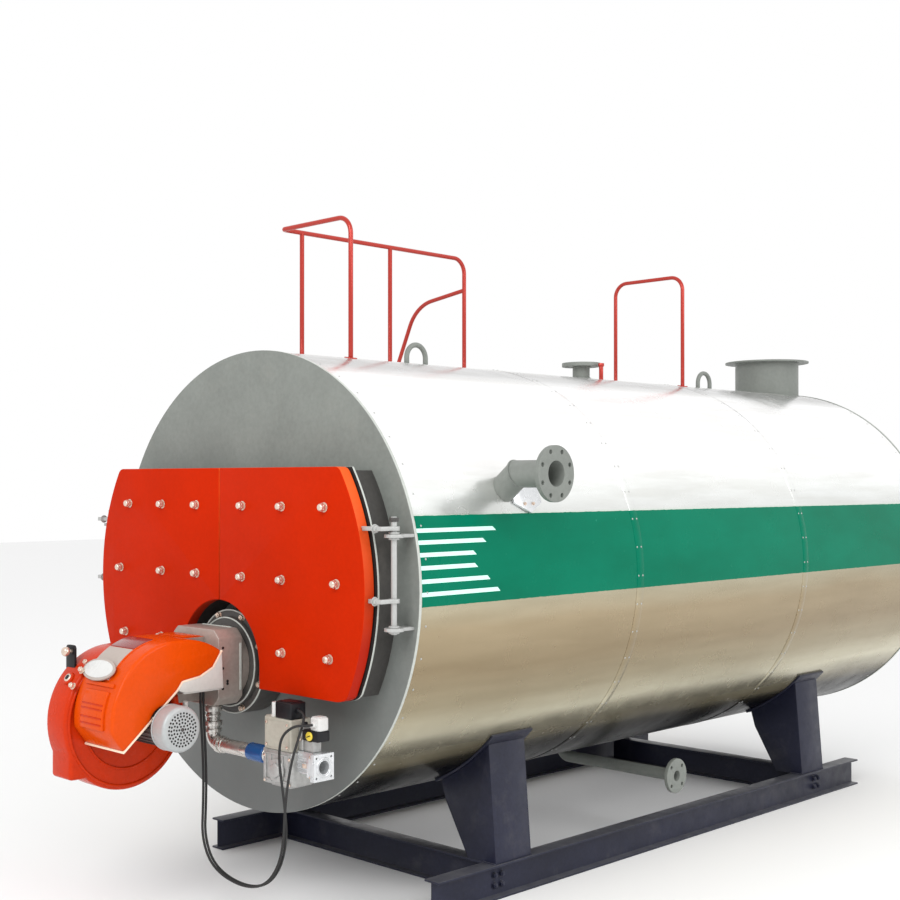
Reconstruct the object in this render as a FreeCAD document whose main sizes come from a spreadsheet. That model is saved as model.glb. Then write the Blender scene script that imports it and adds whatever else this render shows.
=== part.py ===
import FreeCAD, Part
import math
import os
import re
import Sketcher
from FreeCAD import Placement, Rotation, Vector

# Horizontal fire-tube boiler on a skid, with a gas burner on its front.
# Millimetres.  X to the right seen from the burner, Y to the rear, Z up.
# The origin lies on the floor under the middle of the front cross beam.

SIZES = {
    # shell
    "shell_radius": 950, "shell_length": 4322, "axis_height": 1310, "front_overhang": 740,
    "plate_thickness": 16, "plate_rim": 3, "casing_wall": 6, "seat_gap": 0.3,
    "rear_cover_radius": 300, "rear_cover_depth": 60,
    # skid
    "beam_height": 140, "beam_width": 80, "beam_web": 6, "beam_flange": 9,
    "beam_spacing": 1370, "beam_setback": 345, "beam_length": 3490, "cross_pitch": 2670,
    # saddles
    "saddle_depth": 230, "saddle_offset": 75, "saddle_foot_inner": 560,
    "saddle_foot_outer": 715, "saddle_head_outer": 660, "saddle_head_inner": 400,
    "saddle_knee_inner": 432, "saddle_knee_height": 225, "pad_overhang": 15, "pad_thickness": 8,
    "pad_start": 24, "pad_sweep": 24,
    # smoke box and its doors
    "box_radius": 835, "box_depth": 124, "box_wall": 8, "box_lip": 25, "lip_thickness": 10,
    "box_top": 450, "box_bottom": 392, "door_radius": 848, "door_margin": 13, "door_thickness": 50,
    "door_gap": 6, "seam_gap": 6, "arch_radius": 254, "arch_play": 14, "burner_drop": 325,
    # door hinges
    "hinge_x": 909, "hinge_standoff": 90, "hinge_rod_radius": 11, "hinge_play": 0.1,
    "bracket_upper": 205, "bracket_lower": 122, "bracket_thickness": 12, "bracket_radius": 36,
    "bracket_tail": 16,
    "rod_above": 76, "rod_below": 24, "arm_upper": 238, "arm_lower": 24, "arm_height": 16,
    "arm_thickness": 14, "eye_radius": 21,
    # burner
    "collar_radius": 213, "collar_depth": 118, "mount_radius": 183, "mount_thickness": 22,
    "neck_radius": 148, "neck_drum": 40, "neck_side": 300, "neck_corner": 190, "neck_end": 300, 
    "fan_radius": 279, "fan_back": 580, "fan_below": 184,
    "fan_left": 200, "fan_right": 62, "cover_right": 200, "head_left": 130,
    "intake_front": 835, "intake_below": 395, "motor_radius": 74, "motor_length": 277,
    "cowl_radius": 86, "cowl_length": 80, "motor_play": 4, "bracket_panel_left": 60,
    "head_length": 200, "head_above": 120, "head_below": 130,
    # gas train
    "pipe_radius": 28.5, "gas_back": 210, "gas_below": 645, "gas_bend": 42, "union_start": 243,
    "union_radius": 35, "union_length": 100, "valve_start": 380, "valve_length": 170,
    "valve_front": 55, "valve_rise": 42, "valve_fall": 90, "inlet_length": 115, "inlet_side": 56,
    "inlet_flange": 20, "inlet_flange_side": 100, "inlet_pcd": 104,
    "inlet_hole": 4.5, "inlet_bore": 25, "solenoid_start": 388, "solenoid_width": 155,
    "solenoid_depth": 100, "solenoid_height": 122, "connector_width": 92, "connector_depth": 75,
    "connector_height": 62,
    "regulator_gap": 3, "regulator_width": 26, "regulator_depth": 42, "regulator_height": 90,
    "switch_gap": 25, "switch_width": 90, "switch_depth": 60, "switch_height": 39,
    "switch_stem_width": 56, "switch_stem_depth": 40, "switch_stem_height": 43,
    "plug_size": 50, "plug_height": 50,
    # nozzles
    "side_pipe": 54, "side_wall": 4, "side_flange": 110, "side_pcd": 180, "side_thick": 20,
    "side_y": 570, "side_height": 438, "side_rise": 181, "side_stub": 193, "side_pitch": 40,
    "steam_pipe": 44.5, "steam_wall": 4, "steam_flange": 100, "steam_pcd": 160, "steam_thick": 20,
    "steam_y": 2225, "steam_rise": 80, "bolt_hole": 9,
    "flue_radius": 188, "flue_wall": 6, "flue_flange": 248, "flue_pcd": 438, "flue_thick": 10,
    "flue_y": 4112, "flue_rise": 195, "flue_hole": 7,
    "drain_pipe": 28.5, "drain_wall": 3.5, "drain_flange": 82.5, "drain_pcd": 125,
    "drain_thick": 18, "drain_y": 2062, "drain_drop": 58, "drain_reach": 690, "drain_bend": 45,
    # lugs
    "lug_front": 972, "lug_rear": 3400, "lug_width": 125, "lug_bar": 12, "lug_height": 90,
    # rails and ladder
    "rail_radius": 10.5, "rail_rise": 595, "rail_near": 148, "rail_far": 300, "rail_front": 415,
    "rail_rear": 2950, "rail_bend": 75, "rail_side_end": 1640, "post_first": 532,
    "post_second": 1102, "ladder_gap": 65, "ladder_width": 440, "rung_radius": 10,
    "rung_pitch": 300, "rung_count": 6, "ladder_shoulder": 505, "ladder_knee": 640,
    "ladder_shoulder_bend": 507.5, "ladder_knee_bend": 203,
    "ladder_knee_drop": 207, "ladder_top_drop": 157,
    # cables
    "cable_radius": 5,
}

AXES = {"X": Rotation(Vector(0, 1, 0), 90), "Y": Rotation(Vector(1, 0, 0), -90), "Z": Rotation()}
WORDS = {"sqrt", "sin", "cos", "tan", "asin", "acos"}

doc = FreeCAD.newDocument("boiler")
sheet = doc.addObject("Spreadsheet::Sheet", "Sizes")
for row, (alias, size) in enumerate(SIZES.items(), start=1):
    sheet.set(f"A{row}", alias)
    sheet.set(f"B{row}", str(size))
    sheet.setAlias(f"B{row}", alias)
doc.recompute()

nodes = []


def link(expression):
    """Point every size name in an expression at the sheet."""
    return re.sub(r"[A-Za-z_]\w*", lambda w: w[0] if w[0] in WORDS else "Sizes." + w[0], str(expression))


def value(expression):
    """The number that an expression of size names gives."""
    return float(sheet.evalExpression(link(expression)))


def node(shape_object, label):
    """Mark an object as one finished sub-part."""
    shape_object.Label = label
    nodes.append(shape_object)
    return shape_object


def place(obj, x=0, y=0, z=0, rotation=None):
    obj.Placement = Placement(Vector(value(x), value(y), value(z)), rotation or Rotation())
    for letter, expression in (("x", x), ("y", y), ("z", z)):
        obj.setExpression(f"Placement.Base.{letter}", link(expression))
    return obj


def box(name, sizes, corner):
    solid = doc.addObject("Part::Box", name)
    for side, expression in zip(("Length", "Width", "Height"), sizes):
        solid.setExpression(side, link(expression))
    return place(solid, *corner)


def cylinder(name, radius, length, start, along="Z"):
    solid = doc.addObject("Part::Cylinder", name)
    solid.setExpression("Radius", link(radius))
    solid.setExpression("Height", link(length))
    return place(solid, *start, rotation=AXES[along])


def fuse(name, *parts):
    solid = doc.addObject("Part::MultiFuse", name)
    solid.Shapes = list(parts)
    return solid


def group(name, *parts):
    solids = doc.addObject("Part::Compound", name)
    solids.Links = list(parts)
    return solids


def cut(name, base, *tools):
    solid = doc.addObject("Part::Cut", name)
    solid.Base = base
    solid.Tool = tools[0] if len(tools) == 1 else fuse(name + "_tools", *tools)
    return solid


def common(name, first, second):
    solid = doc.addObject("Part::Common", name)
    solid.Base, solid.Tool = first, second
    return solid


def bolt_holes(name, pcd, count, hole, depth, start, along):
    """A ring of bolt holes that straddles the vertical, or the row's Y where it faces up."""
    holes = []
    for i in range(count):
        angle = f"{(i + 0.5) * 360 / count}"
        across, up = f"({pcd}) / 2 * cos({angle})", f"({pcd}) / 2 * sin({angle})"
        x, y, z = start
        centre = (f"{x} + {across}", f"{y} + {up}", z)
        if along == "X":
            centre = (x, f"{y} + {across}", f"{z} + {up}")
        holes.append(cylinder(f"{name}_hole_{i}", hole, depth, centre, along))
    return holes


def outline_body(name, plane, corners, length, reverse=False):
    """A body padded from a closed outline whose corners are pairs of expressions."""
    body = doc.addObject("PartDesign::Body", name)
    sketch = body.newObject("Sketcher::SketchObject", name + "_outline")
    origin_plane = next(f for f in body.Origin.OriginFeatures if f.Role == plane)
    sketch.AttachmentSupport = [(origin_plane, "")]
    sketch.MapMode = "FlatFace"
    points = [Vector(value(u), value(v), 0) for u, v in corners]
    last = len(points) - 1
    for i, point in enumerate(points):
        sketch.addGeometry(Part.LineSegment(point, points[0 if i == last else i + 1]), False)
    for i in range(len(points)):
        sketch.addConstraint(Sketcher.Constraint("Coincident", i, 2, 0 if i == last else i + 1, 1))
    for i, corner in enumerate(corners):
        for kind, number, expression in zip(("DistanceX", "DistanceY"), points[i], corner):
            index = sketch.addConstraint(Sketcher.Constraint(kind, -1, 1, i, 1, number))
            sketch.setExpression(f"Constraints[{index}]", link(expression))
    pad = body.newObject("PartDesign::Pad", name + "_pad")
    pad.Profile = sketch
    pad.Reversed = reverse
    pad.setExpression("Length", link(length))
    body.Tip = pad
    return body


def shaped(name, shape):
    """A sub-part whose shape is computed from the sheet."""
    feature = doc.addObject("Part::Feature", name)
    feature.Shape = shape
    return feature


def rounded_path(points, radii):
    """Straight runs through the points, joined at each inner point by a tangent arc."""
    edges, start = [], points[0]
    for before, corner, after, radius in zip(points, points[1:], points[2:], radii):
        inward, outward = (corner - before).normalize(), (after - corner).normalize()
        turn = inward.getAngle(outward)
        trim = radius * math.tan(turn / 2)
        first, second = corner - inward * trim, corner + outward * trim
        towards = (outward - inward).normalize()
        middle = corner + towards * (radius / math.cos(turn / 2) - radius)
        edges += [Part.LineSegment(start, first).toShape(), Part.Arc(first, middle, second).toShape()]
        start = second
    edges.append(Part.LineSegment(start, points[-1]).toShape())
    return Part.Wire(edges)


def tube(points, radius, radii):
    path = rounded_path(points, radii)
    direction = (points[1] - points[0]).normalize()
    section = Part.Wire([Part.makeCircle(radius, points[0], direction)])
    return path.makePipeShell([section], True, True), path


def mirrored(name, source):
    """The same piece on the left side."""
    twin = doc.addObject("Part::Mirroring", name)
    twin.Source = source
    twin.Normal = Vector(1, 0, 0)
    return twin


def from_front(distance):
    """Y of a plane this far behind the front plate's face."""
    return f"({distance}) - front_overhang"


def from_axis(rise):
    """Z of a height above the shell's axis."""
    return f"axis_height + ({rise})"


# ---------------------------------------------------------------- skid

def beam_profile():
    half, web = "beam_width / 2", "beam_web / 2"
    upper = "beam_height - beam_flange"
    right = [(half, 0), (half, "beam_flange"), (web, "beam_flange"), (web, upper), (half, upper),
             (half, "beam_height")]
    return right + [(f"-({u})", v) for u, v in reversed(right)]


def skid():
    for side, sign in (("right", 1), ("left", -1)):
        beam = outline_body(f"skid_beam_{side}", "XZ_Plane", beam_profile(), "beam_length", True)
        node(place(beam, f"{sign} * beam_spacing / 2", from_front("beam_setback")), f"skid_beam_{side}")
    for end, y in (("front", "0"), ("rear", "cross_pitch")):
        span = "(beam_spacing - beam_width)"
        beam = outline_body(f"cross_beam_{end}", "YZ_Plane", beam_profile(), span)
        node(place(beam, f"-{span} / 2", y), f"cross_beam_{end}")


def saddle(end, centre):
    """One pair of tapered legs between the skid beams and the shell, with their wear plates."""
    head = from_axis("-shell_radius / 2")
    knee = "beam_height + saddle_knee_height"
    corners = [("saddle_foot_inner", "beam_height"), ("saddle_foot_outer", "beam_height"),
               ("saddle_head_outer", head), ("saddle_head_inner", head),
               ("saddle_head_inner", f"{knee} + saddle_knee_height / 2"), ("saddle_knee_inner", knee)]
    for side, sign in (("right", 1), ("left", -1)):
        outline = [(f"{sign} * ({u})", v) for u, v in corners]
        leg = outline_body(f"leg_{end}_{side}", "XZ_Plane", outline, "saddle_depth", True)
        place(leg, 0, f"{centre} - saddle_depth / 2")
        seat = cylinder(f"seat_{end}_{side}", "shell_radius + pad_thickness + seat_gap",
                        "2 * saddle_depth", (0, f"{centre} - saddle_depth", "axis_height"), "Y")
        node(cut(f"saddle_{end}_{side}", leg, seat), f"saddle_{end}_{side}")


def pads():
    plates = []
    for end, centre in (("front", "saddle_offset"), ("rear", "cross_pitch - saddle_offset")):
        length = "saddle_depth + 2 * pad_overhang"
        start = (0, f"{centre} - saddle_depth / 2 - pad_overhang", "axis_height")
        for side, angle in (("right", "90 - pad_start - pad_sweep"), ("left", "90 + pad_start")):
            disc = cylinder(f"pad_{end}_{side}", "shell_radius + pad_thickness", length, start, "Y")
            disc.setExpression("Angle", link("pad_sweep"))
            disc.Placement.Rotation = AXES["Y"].multiply(Rotation(Vector(0, 0, 1), value(angle)))
            core = cylinder(f"pad_core_{end}_{side}", "shell_radius - plate_rim + seat_gap", length,
                            start, "Y")
            plates.append(cut(f"pad_plate_{end}_{side}", disc, core))
    node(group("saddle_pads", *plates), "saddle_pads")


# ---------------------------------------------------------------- shell

def shell():
    front, back = from_front(0), from_front("shell_length - plate_thickness")
    disc = cylinder("front_plate", "shell_radius", "plate_thickness", (0, front, "axis_height"), "Y")
    node(disc, "front_plate")
    disc = cylinder("rear_plate", "shell_radius", "plate_thickness", (0, back, "axis_height"), "Y")
    node(disc, "rear_plate")
    length = "shell_length - 2 * plate_thickness"
    start = (0, from_front("plate_thickness"), "axis_height")
    outer = cylinder("casing_outer", "shell_radius - plate_rim", length, start, "Y")
    inner = cylinder("casing_inner", "shell_radius - plate_rim - casing_wall", length, start, "Y")
    node(cut("shell_casing", outer, inner), "shell_casing")
    cover = cylinder("rear_cover", "rear_cover_radius", "rear_cover_depth",
                     (0, from_front("shell_length"), from_axis("-burner_drop")), "Y")
    node(cover, "rear_cover")


def clear_of_shell(name, solid, y, length):
    """Trim a piece so that it ends on the casing."""
    core = cylinder(name + "_seat", "shell_radius - plate_rim + seat_gap", length,
                    (0, f"{y} - ({length}) / 2", "axis_height"), "Y")
    return cut(name, solid, core)


# ---------------------------------------------------------------- smoke box and doors

def arch(name, radius, start, depth):
    """The burner's arch: a half round over a straight-sided slot that runs down."""
    drop = from_axis("-burner_drop")
    crown = cylinder(name + "_crown", radius, depth, (0, start, drop), "Y")
    slot = box(name + "_slot", (f"2 * ({radius})", depth, "shell_radius"),
               (f"-({radius})", start, f"{drop} - shell_radius"))
    return fuse(name, crown, slot)


def door_outline(name, radius, top, bottom, arch_radius, start, depth):
    disc = cylinder(name + "_disc", radius, depth, (0, start, "axis_height"), "Y")
    band = box(name + "_band", ("2 * shell_radius", depth, f"({top}) + ({bottom})"),
               ("-shell_radius", start, from_axis(f"-({bottom})")))
    return cut(name, common(name + "_blank", disc, band), arch(name + "_arch", arch_radius, start, depth))


def smoke_box():
    start = from_front("-box_depth")
    outer_arch, inner_arch = "arch_radius + arch_play", "arch_radius + arch_play + box_wall"
    outer = door_outline("box_outer", "box_radius", "box_top", "box_bottom", outer_arch, start, "box_depth")
    inner = door_outline("box_inner", "box_radius - box_wall", "box_top - box_wall",
                         "box_bottom - box_wall", inner_arch, start, "box_depth")
    lip = door_outline("box_lip_plate", "box_radius + box_lip", "box_top + door_margin",
                       "box_bottom + door_margin", outer_arch, start, "lip_thickness")
    node(cut("smoke_box", fuse("box_with_lip", outer, lip), inner), "smoke_box")


def doors():
    start = from_front("-box_depth - door_gap - door_thickness")
    blank = door_outline("door_blank", "door_radius", "box_top + door_margin", "box_bottom + door_margin",
                         "arch_radius", start, "door_thickness")
    half = box("door_half", ("shell_radius", "2 * door_thickness", "2 * shell_radius"),
               ("seam_gap / 2", f"{start} - door_thickness / 2", from_axis("-shell_radius")))
    right = node(common("door_right", blank, half), "door_right")
    node(mirrored("door_left", right), "door_left")


def hinge_plates(name, z):
    """A bracket plate from the front plate to the hinge rod, round at its outer end."""
    tongue = box(name + "_tongue", ("bracket_radius + bracket_tail", "hinge_standoff", "bracket_thickness"),
                 ("hinge_x - bracket_radius", from_front("-hinge_standoff"), z))
    nose = cylinder(name + "_nose", "bracket_radius", "bracket_thickness",
                    ("hinge_x", from_front("-hinge_standoff"), z))
    hole = cylinder(name + "_hole", "hinge_rod_radius + hinge_play", "bracket_thickness",
                    ("hinge_x", from_front("-hinge_standoff"), z))
    return cut(name, fuse(name + "_plate", tongue, nose), hole)


def door_arm(name, z):
    """An arm from the door's edge round the lip to an eye on the hinge rod."""
    reach = "arm_height"
    centre = from_front("-hinge_standoff")
    face = from_front("-box_depth - door_gap - door_thickness / 2 - arm_thickness / 2")
    bar = box(name + "_bar", ("hinge_x - box_radius / 2", "arm_thickness", reach),
              ("box_radius / 2", face, z))
    web = box(name + "_web", ("arm_thickness", f"{centre} - ({face})", reach),
              ("hinge_x - arm_thickness / 2", face, z))
    eye = cylinder(name + "_eye", "eye_radius", reach, ("hinge_x", centre, z))
    hole = cylinder(name + "_hole", "hinge_rod_radius + hinge_play", reach, ("hinge_x", centre, z))
    blank = fuse(name + "_blank", bar, web, eye)
    door_side = cylinder(name + "_door", "door_radius", "4 * door_thickness",
                         (0, from_front("-box_depth - 3 * door_thickness"), "axis_height"), "Y")
    return cut(name, blank, hole, door_side)


def hinges():
    upper, lower = from_axis("bracket_upper"), from_axis("-bracket_lower - bracket_thickness")
    plates = [hinge_plates("bracket_upper_plate", upper), hinge_plates("bracket_lower_plate", lower)]
    plates += [mirrored(f"{plate.Name}_left", plate) for plate in plates]
    node(group("hinge_brackets", *plates), "hinge_brackets")
    length = "bracket_upper + bracket_lower + rod_above + rod_below"
    rod = cylinder("hinge_rod_right", "hinge_rod_radius", length,
                   ("hinge_x", from_front("-hinge_standoff"), from_axis("-bracket_lower - rod_below")))
    node(group("hinge_rods", rod, mirrored("hinge_rod_left", rod)), "hinge_rods")
    arms = [door_arm("arm_upper_right", from_axis("arm_upper - arm_height / 2")),
            door_arm("arm_lower_right", from_axis("-arm_lower - arm_height / 2"))]
    node(group("door_arms_right", *arms), "door_arms_right")
    node(group("door_arms_left", *[mirrored(arm.Name + "_twin", arm) for arm in arms]), "door_arms_left")


# ---------------------------------------------------------------- burner

FAN_Y = from_front("-fan_back")
FAN_Z = from_axis("-burner_drop - fan_below")

# Corners of the burner's side cover, each as (to the rear, up) from the fan's axis.
COVER_TOP = [(260, 261), (153, 308), (58, 316), (-110, 273), (-210, 159), (-242, 69), (-244, -1)]
COVER_TOE = (-192, -73)
COVER_EDGE = [(49, 129), (72, 159), (155, 171), (218, 201)]
PANEL_FOOT = [(268, 115), (82, 115)]


def at_fan(x, corner):
    """A point of the burner's side outlines."""
    return Vector(value(x), value(FAN_Y) + corner[0], value(FAN_Z) + corner[1])


def prism(edges, length):
    """A closed outline of edges, pushed to the right."""
    return Part.Face(Part.Wire(edges)).extrude(Vector(value(length), 0, 0))


def polygon_edges(points):
    return [Part.LineSegment(a, b).toShape() for a, b in zip(points, points[1:])]


def burner_cover():
    top = [at_fan("-fan_right", corner) for corner in COVER_TOP]
    arcs = [Part.Arc(*top[i:i + 3]).toShape() for i in (0, 2, 4)]
    lower = [at_fan("-fan_right", corner) for corner in (COVER_TOP[-1], COVER_TOE, *COVER_EDGE, COVER_TOP[0])]
    cover = shaped("cover_blank", prism(arcs + polygon_edges(lower), "fan_right + cover_right"))
    room = cylinder("cover_motor_room", "motor_radius + motor_play", "fan_right + 2 * cover_right",
                    ("-fan_right", FAN_Y, FAN_Z), "X")
    return node(cut("burner_cover", cover, room), "burner_cover")


def bracket_panel():
    outline = [COVER_TOP[0], *PANEL_FOOT, *COVER_EDGE, COVER_TOP[0]]
    points = [at_fan("bracket_panel_left", corner) for corner in outline]
    return node(shaped("bracket_panel", prism(polygon_edges(points), "cover_right - bracket_panel_left")),
                "bracket_panel")


def fan_housing():
    width = "fan_left - fan_right"
    volute = cylinder("volute", "fan_radius", width, ("-fan_left", FAN_Y, FAN_Z), "X")
    intake = box("intake", (width, "intake_front - fan_back", "intake_below - fan_below"),
                 ("-fan_left", from_front("-intake_front"), from_axis("-burner_drop - intake_below")))
    return node(fuse("fan_housing", volute, intake), "fan_housing")


def burner_neck():
    """A short drum behind a square housing with clipped corners."""
    drop, mouth = from_axis("-burner_drop"), "-collar_depth - mount_thickness"
    drum = cylinder("neck_drum_solid", "neck_radius", "neck_drum",
                    (0, from_front(f"{mouth} - neck_drum"), drop), "Y")
    depth = "neck_end - collar_depth - mount_thickness - neck_drum"
    square = box("neck_square", ("neck_side", depth, "neck_side"),
                 ("-neck_side / 2", from_front("-neck_end"), f"{drop} - neck_side / 2"))
    corners = cylinder("neck_corners", "neck_corner", depth, (0, from_front("-neck_end"), drop), "Y")
    return fuse("neck_housing", drum, common("neck_box", square, corners))


def burner():
    drop = from_axis("-burner_drop")
    node(cylinder("furnace_collar", "collar_radius", "collar_depth",
                  (0, from_front("-collar_depth"), drop), "Y"), "furnace_collar")
    node(cylinder("burner_flange", "mount_radius", "mount_thickness",
                  (0, from_front("-collar_depth - mount_thickness"), drop), "Y"), "burner_flange")
    node(burner_neck(), "burner_neck")
    cover, panel, fan = burner_cover(), bracket_panel(), fan_housing()
    head = box("head_blank", ("head_left + bracket_panel_left", "head_length", "head_above + head_below"),
               ("-head_left", from_front("-neck_end - head_length"), f"{drop} - head_below"))
    node(cut("burner_head", head, cover, panel, fan), "burner_head")
    node(cylinder("motor_body", "motor_radius", "motor_length", ("-fan_right", FAN_Y, FAN_Z), "X"),
         "motor_body")
    node(cylinder("motor_cowl", "cowl_radius", "cowl_length",
                  ("motor_length - fan_right", FAN_Y, FAN_Z), "X"), "motor_cowl")


# ---------------------------------------------------------------- gas train

GAS_Y = from_front("-gas_back")
GAS_Z = from_axis("-gas_below")
VALVE_TOP = f"{GAS_Z} + valve_rise"


def upright_box(name, start, width, depth, height, foot, front):
    """A box of the gas train, by its left side, its front and its foot."""
    return node(box(name, (width, depth, height), (start, front, foot)), name)


def gas_pipe():
    top = value(from_axis("-burner_drop - neck_side / 2 - seat_gap"))
    y, z = value(GAS_Y), value(GAS_Z)
    points = [Vector(0, y, top), Vector(0, y, z), Vector(value("union_start"), y, z)]
    node(shaped("gas_pipe", tube(points, value("pipe_radius"), [value("gas_bend")])[0]), "gas_pipe")


def gas_train():
    gas_pipe()
    ring = cylinder("union_ring", "union_radius", "union_length", ("union_start", GAS_Y, GAS_Z), "X")
    nipple = cylinder("union_nipple", "pipe_radius", "valve_start - union_start",
                      ("union_start", GAS_Y, GAS_Z), "X")
    node(fuse("gas_union", ring, nipple), "gas_union")
    front = f"{GAS_Y} - valve_front"
    upright_box("gas_valve", "valve_start", "valve_length", "2 * valve_front",
                "valve_rise + valve_fall", f"{GAS_Z} - valve_fall", front)
    upright_box("gas_solenoid", "solenoid_start", "solenoid_width", "solenoid_depth",
                "solenoid_height", VALVE_TOP, front)
    solenoid_end = "solenoid_start + solenoid_width"
    upright_box("solenoid_connector", f"{solenoid_end} - connector_width", "connector_width",
                "connector_depth", "connector_height", f"{VALVE_TOP} + solenoid_height", front)
    inlet_start = "valve_start + valve_length"
    face = "valve_start + valve_length + inlet_length"
    top = "inlet_flange_side / 2"
    upright_box("gas_regulator", f"{solenoid_end} + regulator_gap", "regulator_width", "regulator_depth",
                "regulator_height", f"{GAS_Z} + {top}", f"{GAS_Y} - regulator_depth / 2")
    block = box("inlet_block", ("inlet_length - inlet_flange", "inlet_side", f"inlet_side / 2 + {top}"),
                (inlet_start, f"{GAS_Y} - inlet_side / 2", f"{GAS_Z} - inlet_side / 2"))
    plate = box("inlet_plate", ("inlet_flange", "inlet_flange_side", "inlet_flange_side"),
                (f"{face} - inlet_flange", f"{GAS_Y} - inlet_flange_side / 2",
                 f"{GAS_Z} - inlet_flange_side / 2"))
    bore = cylinder("inlet_hole", "inlet_bore", "inlet_length", (inlet_start, GAS_Y, GAS_Z), "X")
    holes = bolt_holes("inlet", "inlet_pcd", 4, "inlet_hole", "inlet_flange",
                       (f"{face} - inlet_flange", GAS_Y, GAS_Z), "X")
    node(cut("gas_inlet", fuse("inlet_blank", block, plate), bore, *holes), "gas_inlet")
    switch_start, foot = f"{inlet_start} + switch_gap", f"{GAS_Z} + {top}"
    stem = box("switch_stem", ("switch_stem_width", "switch_stem_depth", "switch_stem_height"),
               (switch_start, f"{GAS_Y} - switch_stem_depth / 2", foot))
    case = box("switch_case", ("switch_width", "switch_depth", "switch_height"),
               (switch_start, f"{GAS_Y} - switch_depth / 2", f"{foot} + switch_stem_height"))
    node(fuse("switch_blank", stem, case), "pressure_switch")
    upright_box("switch_plug", f"{switch_start} + switch_width - plug_size", "plug_size", "plug_size",
                "plug_height", f"{foot} + switch_stem_height + switch_height", f"{GAS_Y} - plug_size / 2")


# ---------------------------------------------------------------- nozzles

def flange_plate(name, radius, thickness, bore, pcd, count, hole, start, along):
    """A round flange with its bore and a ring of bolt holes."""
    disc = cylinder(name + "_disc", radius, thickness, start, along)
    middle = cylinder(name + "_bore", bore, thickness, start, along)
    return cut(name, disc, middle, *bolt_holes(name, pcd, count, hole, thickness, start, along))


def pipe(name, radius, wall, length, start, along):
    outer = cylinder(name + "_outer", radius, length, start, along)
    inner = cylinder(name + "_inner", f"({radius}) - ({wall})", length, start, along)
    return cut(name, outer, inner)


def steam_nozzle():
    y, root = from_front("steam_y"), from_axis("shell_radius - 2 * steam_pipe")
    face = from_axis("shell_radius + steam_rise - steam_thick")
    height = "steam_rise - steam_thick + 2 * steam_pipe"
    tube_up = pipe("steam_tube", "steam_pipe", "steam_wall", height, (0, y, root), "Z")
    flange = flange_plate("steam_flange_plate", "steam_flange", "steam_thick", "steam_pipe - steam_wall",
                          "steam_pcd", 8, "bolt_hole", (0, y, face), "Z")
    node(clear_of_shell("steam_nozzle", fuse("steam_blank", tube_up, flange), y, "4 * steam_flange"),
         "steam_nozzle")


def chimney():
    y, root = from_front("flue_y"), from_axis("shell_radius - flue_radius / 2")
    tube_up = pipe("flue_tube", "flue_radius", "flue_wall",
                   "flue_rise - flue_thick + flue_radius / 2", (0, y, root), "Z")
    flange = flange_plate("flue_flange_plate", "flue_flange", "flue_thick", "flue_radius - flue_wall",
                          "flue_pcd", 12, "flue_hole",
                          (0, y, from_axis("shell_radius + flue_rise - flue_thick")), "Z")
    node(clear_of_shell("chimney", fuse("chimney_blank", tube_up, flange), y, "4 * flue_flange"), "chimney")


def side_nozzle():
    """A pipe that rises from the shell's side, then a mitred level stub with a flange."""
    y, height = value(from_front("side_y")), value(from_axis("side_height"))
    reach, pitch = value("shell_radius + side_rise"), math.radians(value("side_pitch"))
    knee = Vector(reach - value("side_stub"), y, height)
    slope = Vector(math.cos(pitch), 0, math.sin(pitch))
    root = knee - slope * 3 * value("side_pipe")
    end = Vector(reach - value("side_thick") / 2, y, height)

    def run(radius):
        mitre = (slope + Vector(1, 0, 0)).normalize()
        first = Part.makeCylinder(radius, 6 * radius, root, slope)
        second = Part.makeCylinder(radius, (end - knee).Length + 2 * radius, knee - Vector(2 * radius, 0, 0),
                                   Vector(1, 0, 0))
        side = 12 * radius
        turned = Rotation(Vector(0, 0, 1), mitre)
        before = Part.makeBox(side, side, side)
        before.Placement = Placement(knee + turned.multVec(Vector(-side / 2, -side / 2, -side)), turned)
        after = Part.makeBox(side, side, side)
        after.Placement = Placement(knee + turned.multVec(Vector(-side / 2, -side / 2, 0)), turned)
        return first.common(before).fuse(second.common(after))

    outer, inner = run(value("side_pipe")), run(value("side_pipe") - value("side_wall"))
    bend = shaped("side_bend", outer.cut(inner).removeSplitter())
    flange = flange_plate("side_flange_plate", "side_flange", "side_thick", "side_pipe - side_wall",
                          "side_pcd", 8, "bolt_hole",
                          ("shell_radius + side_rise - side_thick", from_front("side_y"),
                           from_axis("side_height")), "X")
    blank = fuse("side_blank", bend, flange)
    node(clear_of_shell("side_nozzle", blank, from_front("side_y"), "8 * side_flange"), "side_nozzle")


def drain():
    y, z = value(from_front("drain_y")), value(from_axis("-shell_radius - drain_drop"))
    top = value(from_axis("-shell_radius")) + value("drain_pipe")
    points = [Vector(0, y, top), Vector(0, y, z), Vector(value("drain_reach - drain_thick"), y, z)]
    outer = tube(points, value("drain_pipe"), [value("drain_bend")])[0]
    inner = tube(points, value("drain_pipe - drain_wall"), [value("drain_bend")])[0]
    bend = shaped("drain_bend", outer.cut(inner))
    face = ("drain_reach - drain_thick", from_front("drain_y"), from_axis("-shell_radius - drain_drop"))
    flange = flange_plate("drain_flange_plate", "drain_flange", "drain_thick", "drain_pipe - drain_wall",
                          "drain_pcd", 4, "bolt_hole", face, "X")
    node(clear_of_shell("drain_pipe", fuse("drain_blank", bend, flange), from_front("drain_y"),
                        "4 * drain_flange"), "drain_pipe")


# A lifting eye's bends as a share of its half width.
EYE_BEND = 0.98


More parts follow.
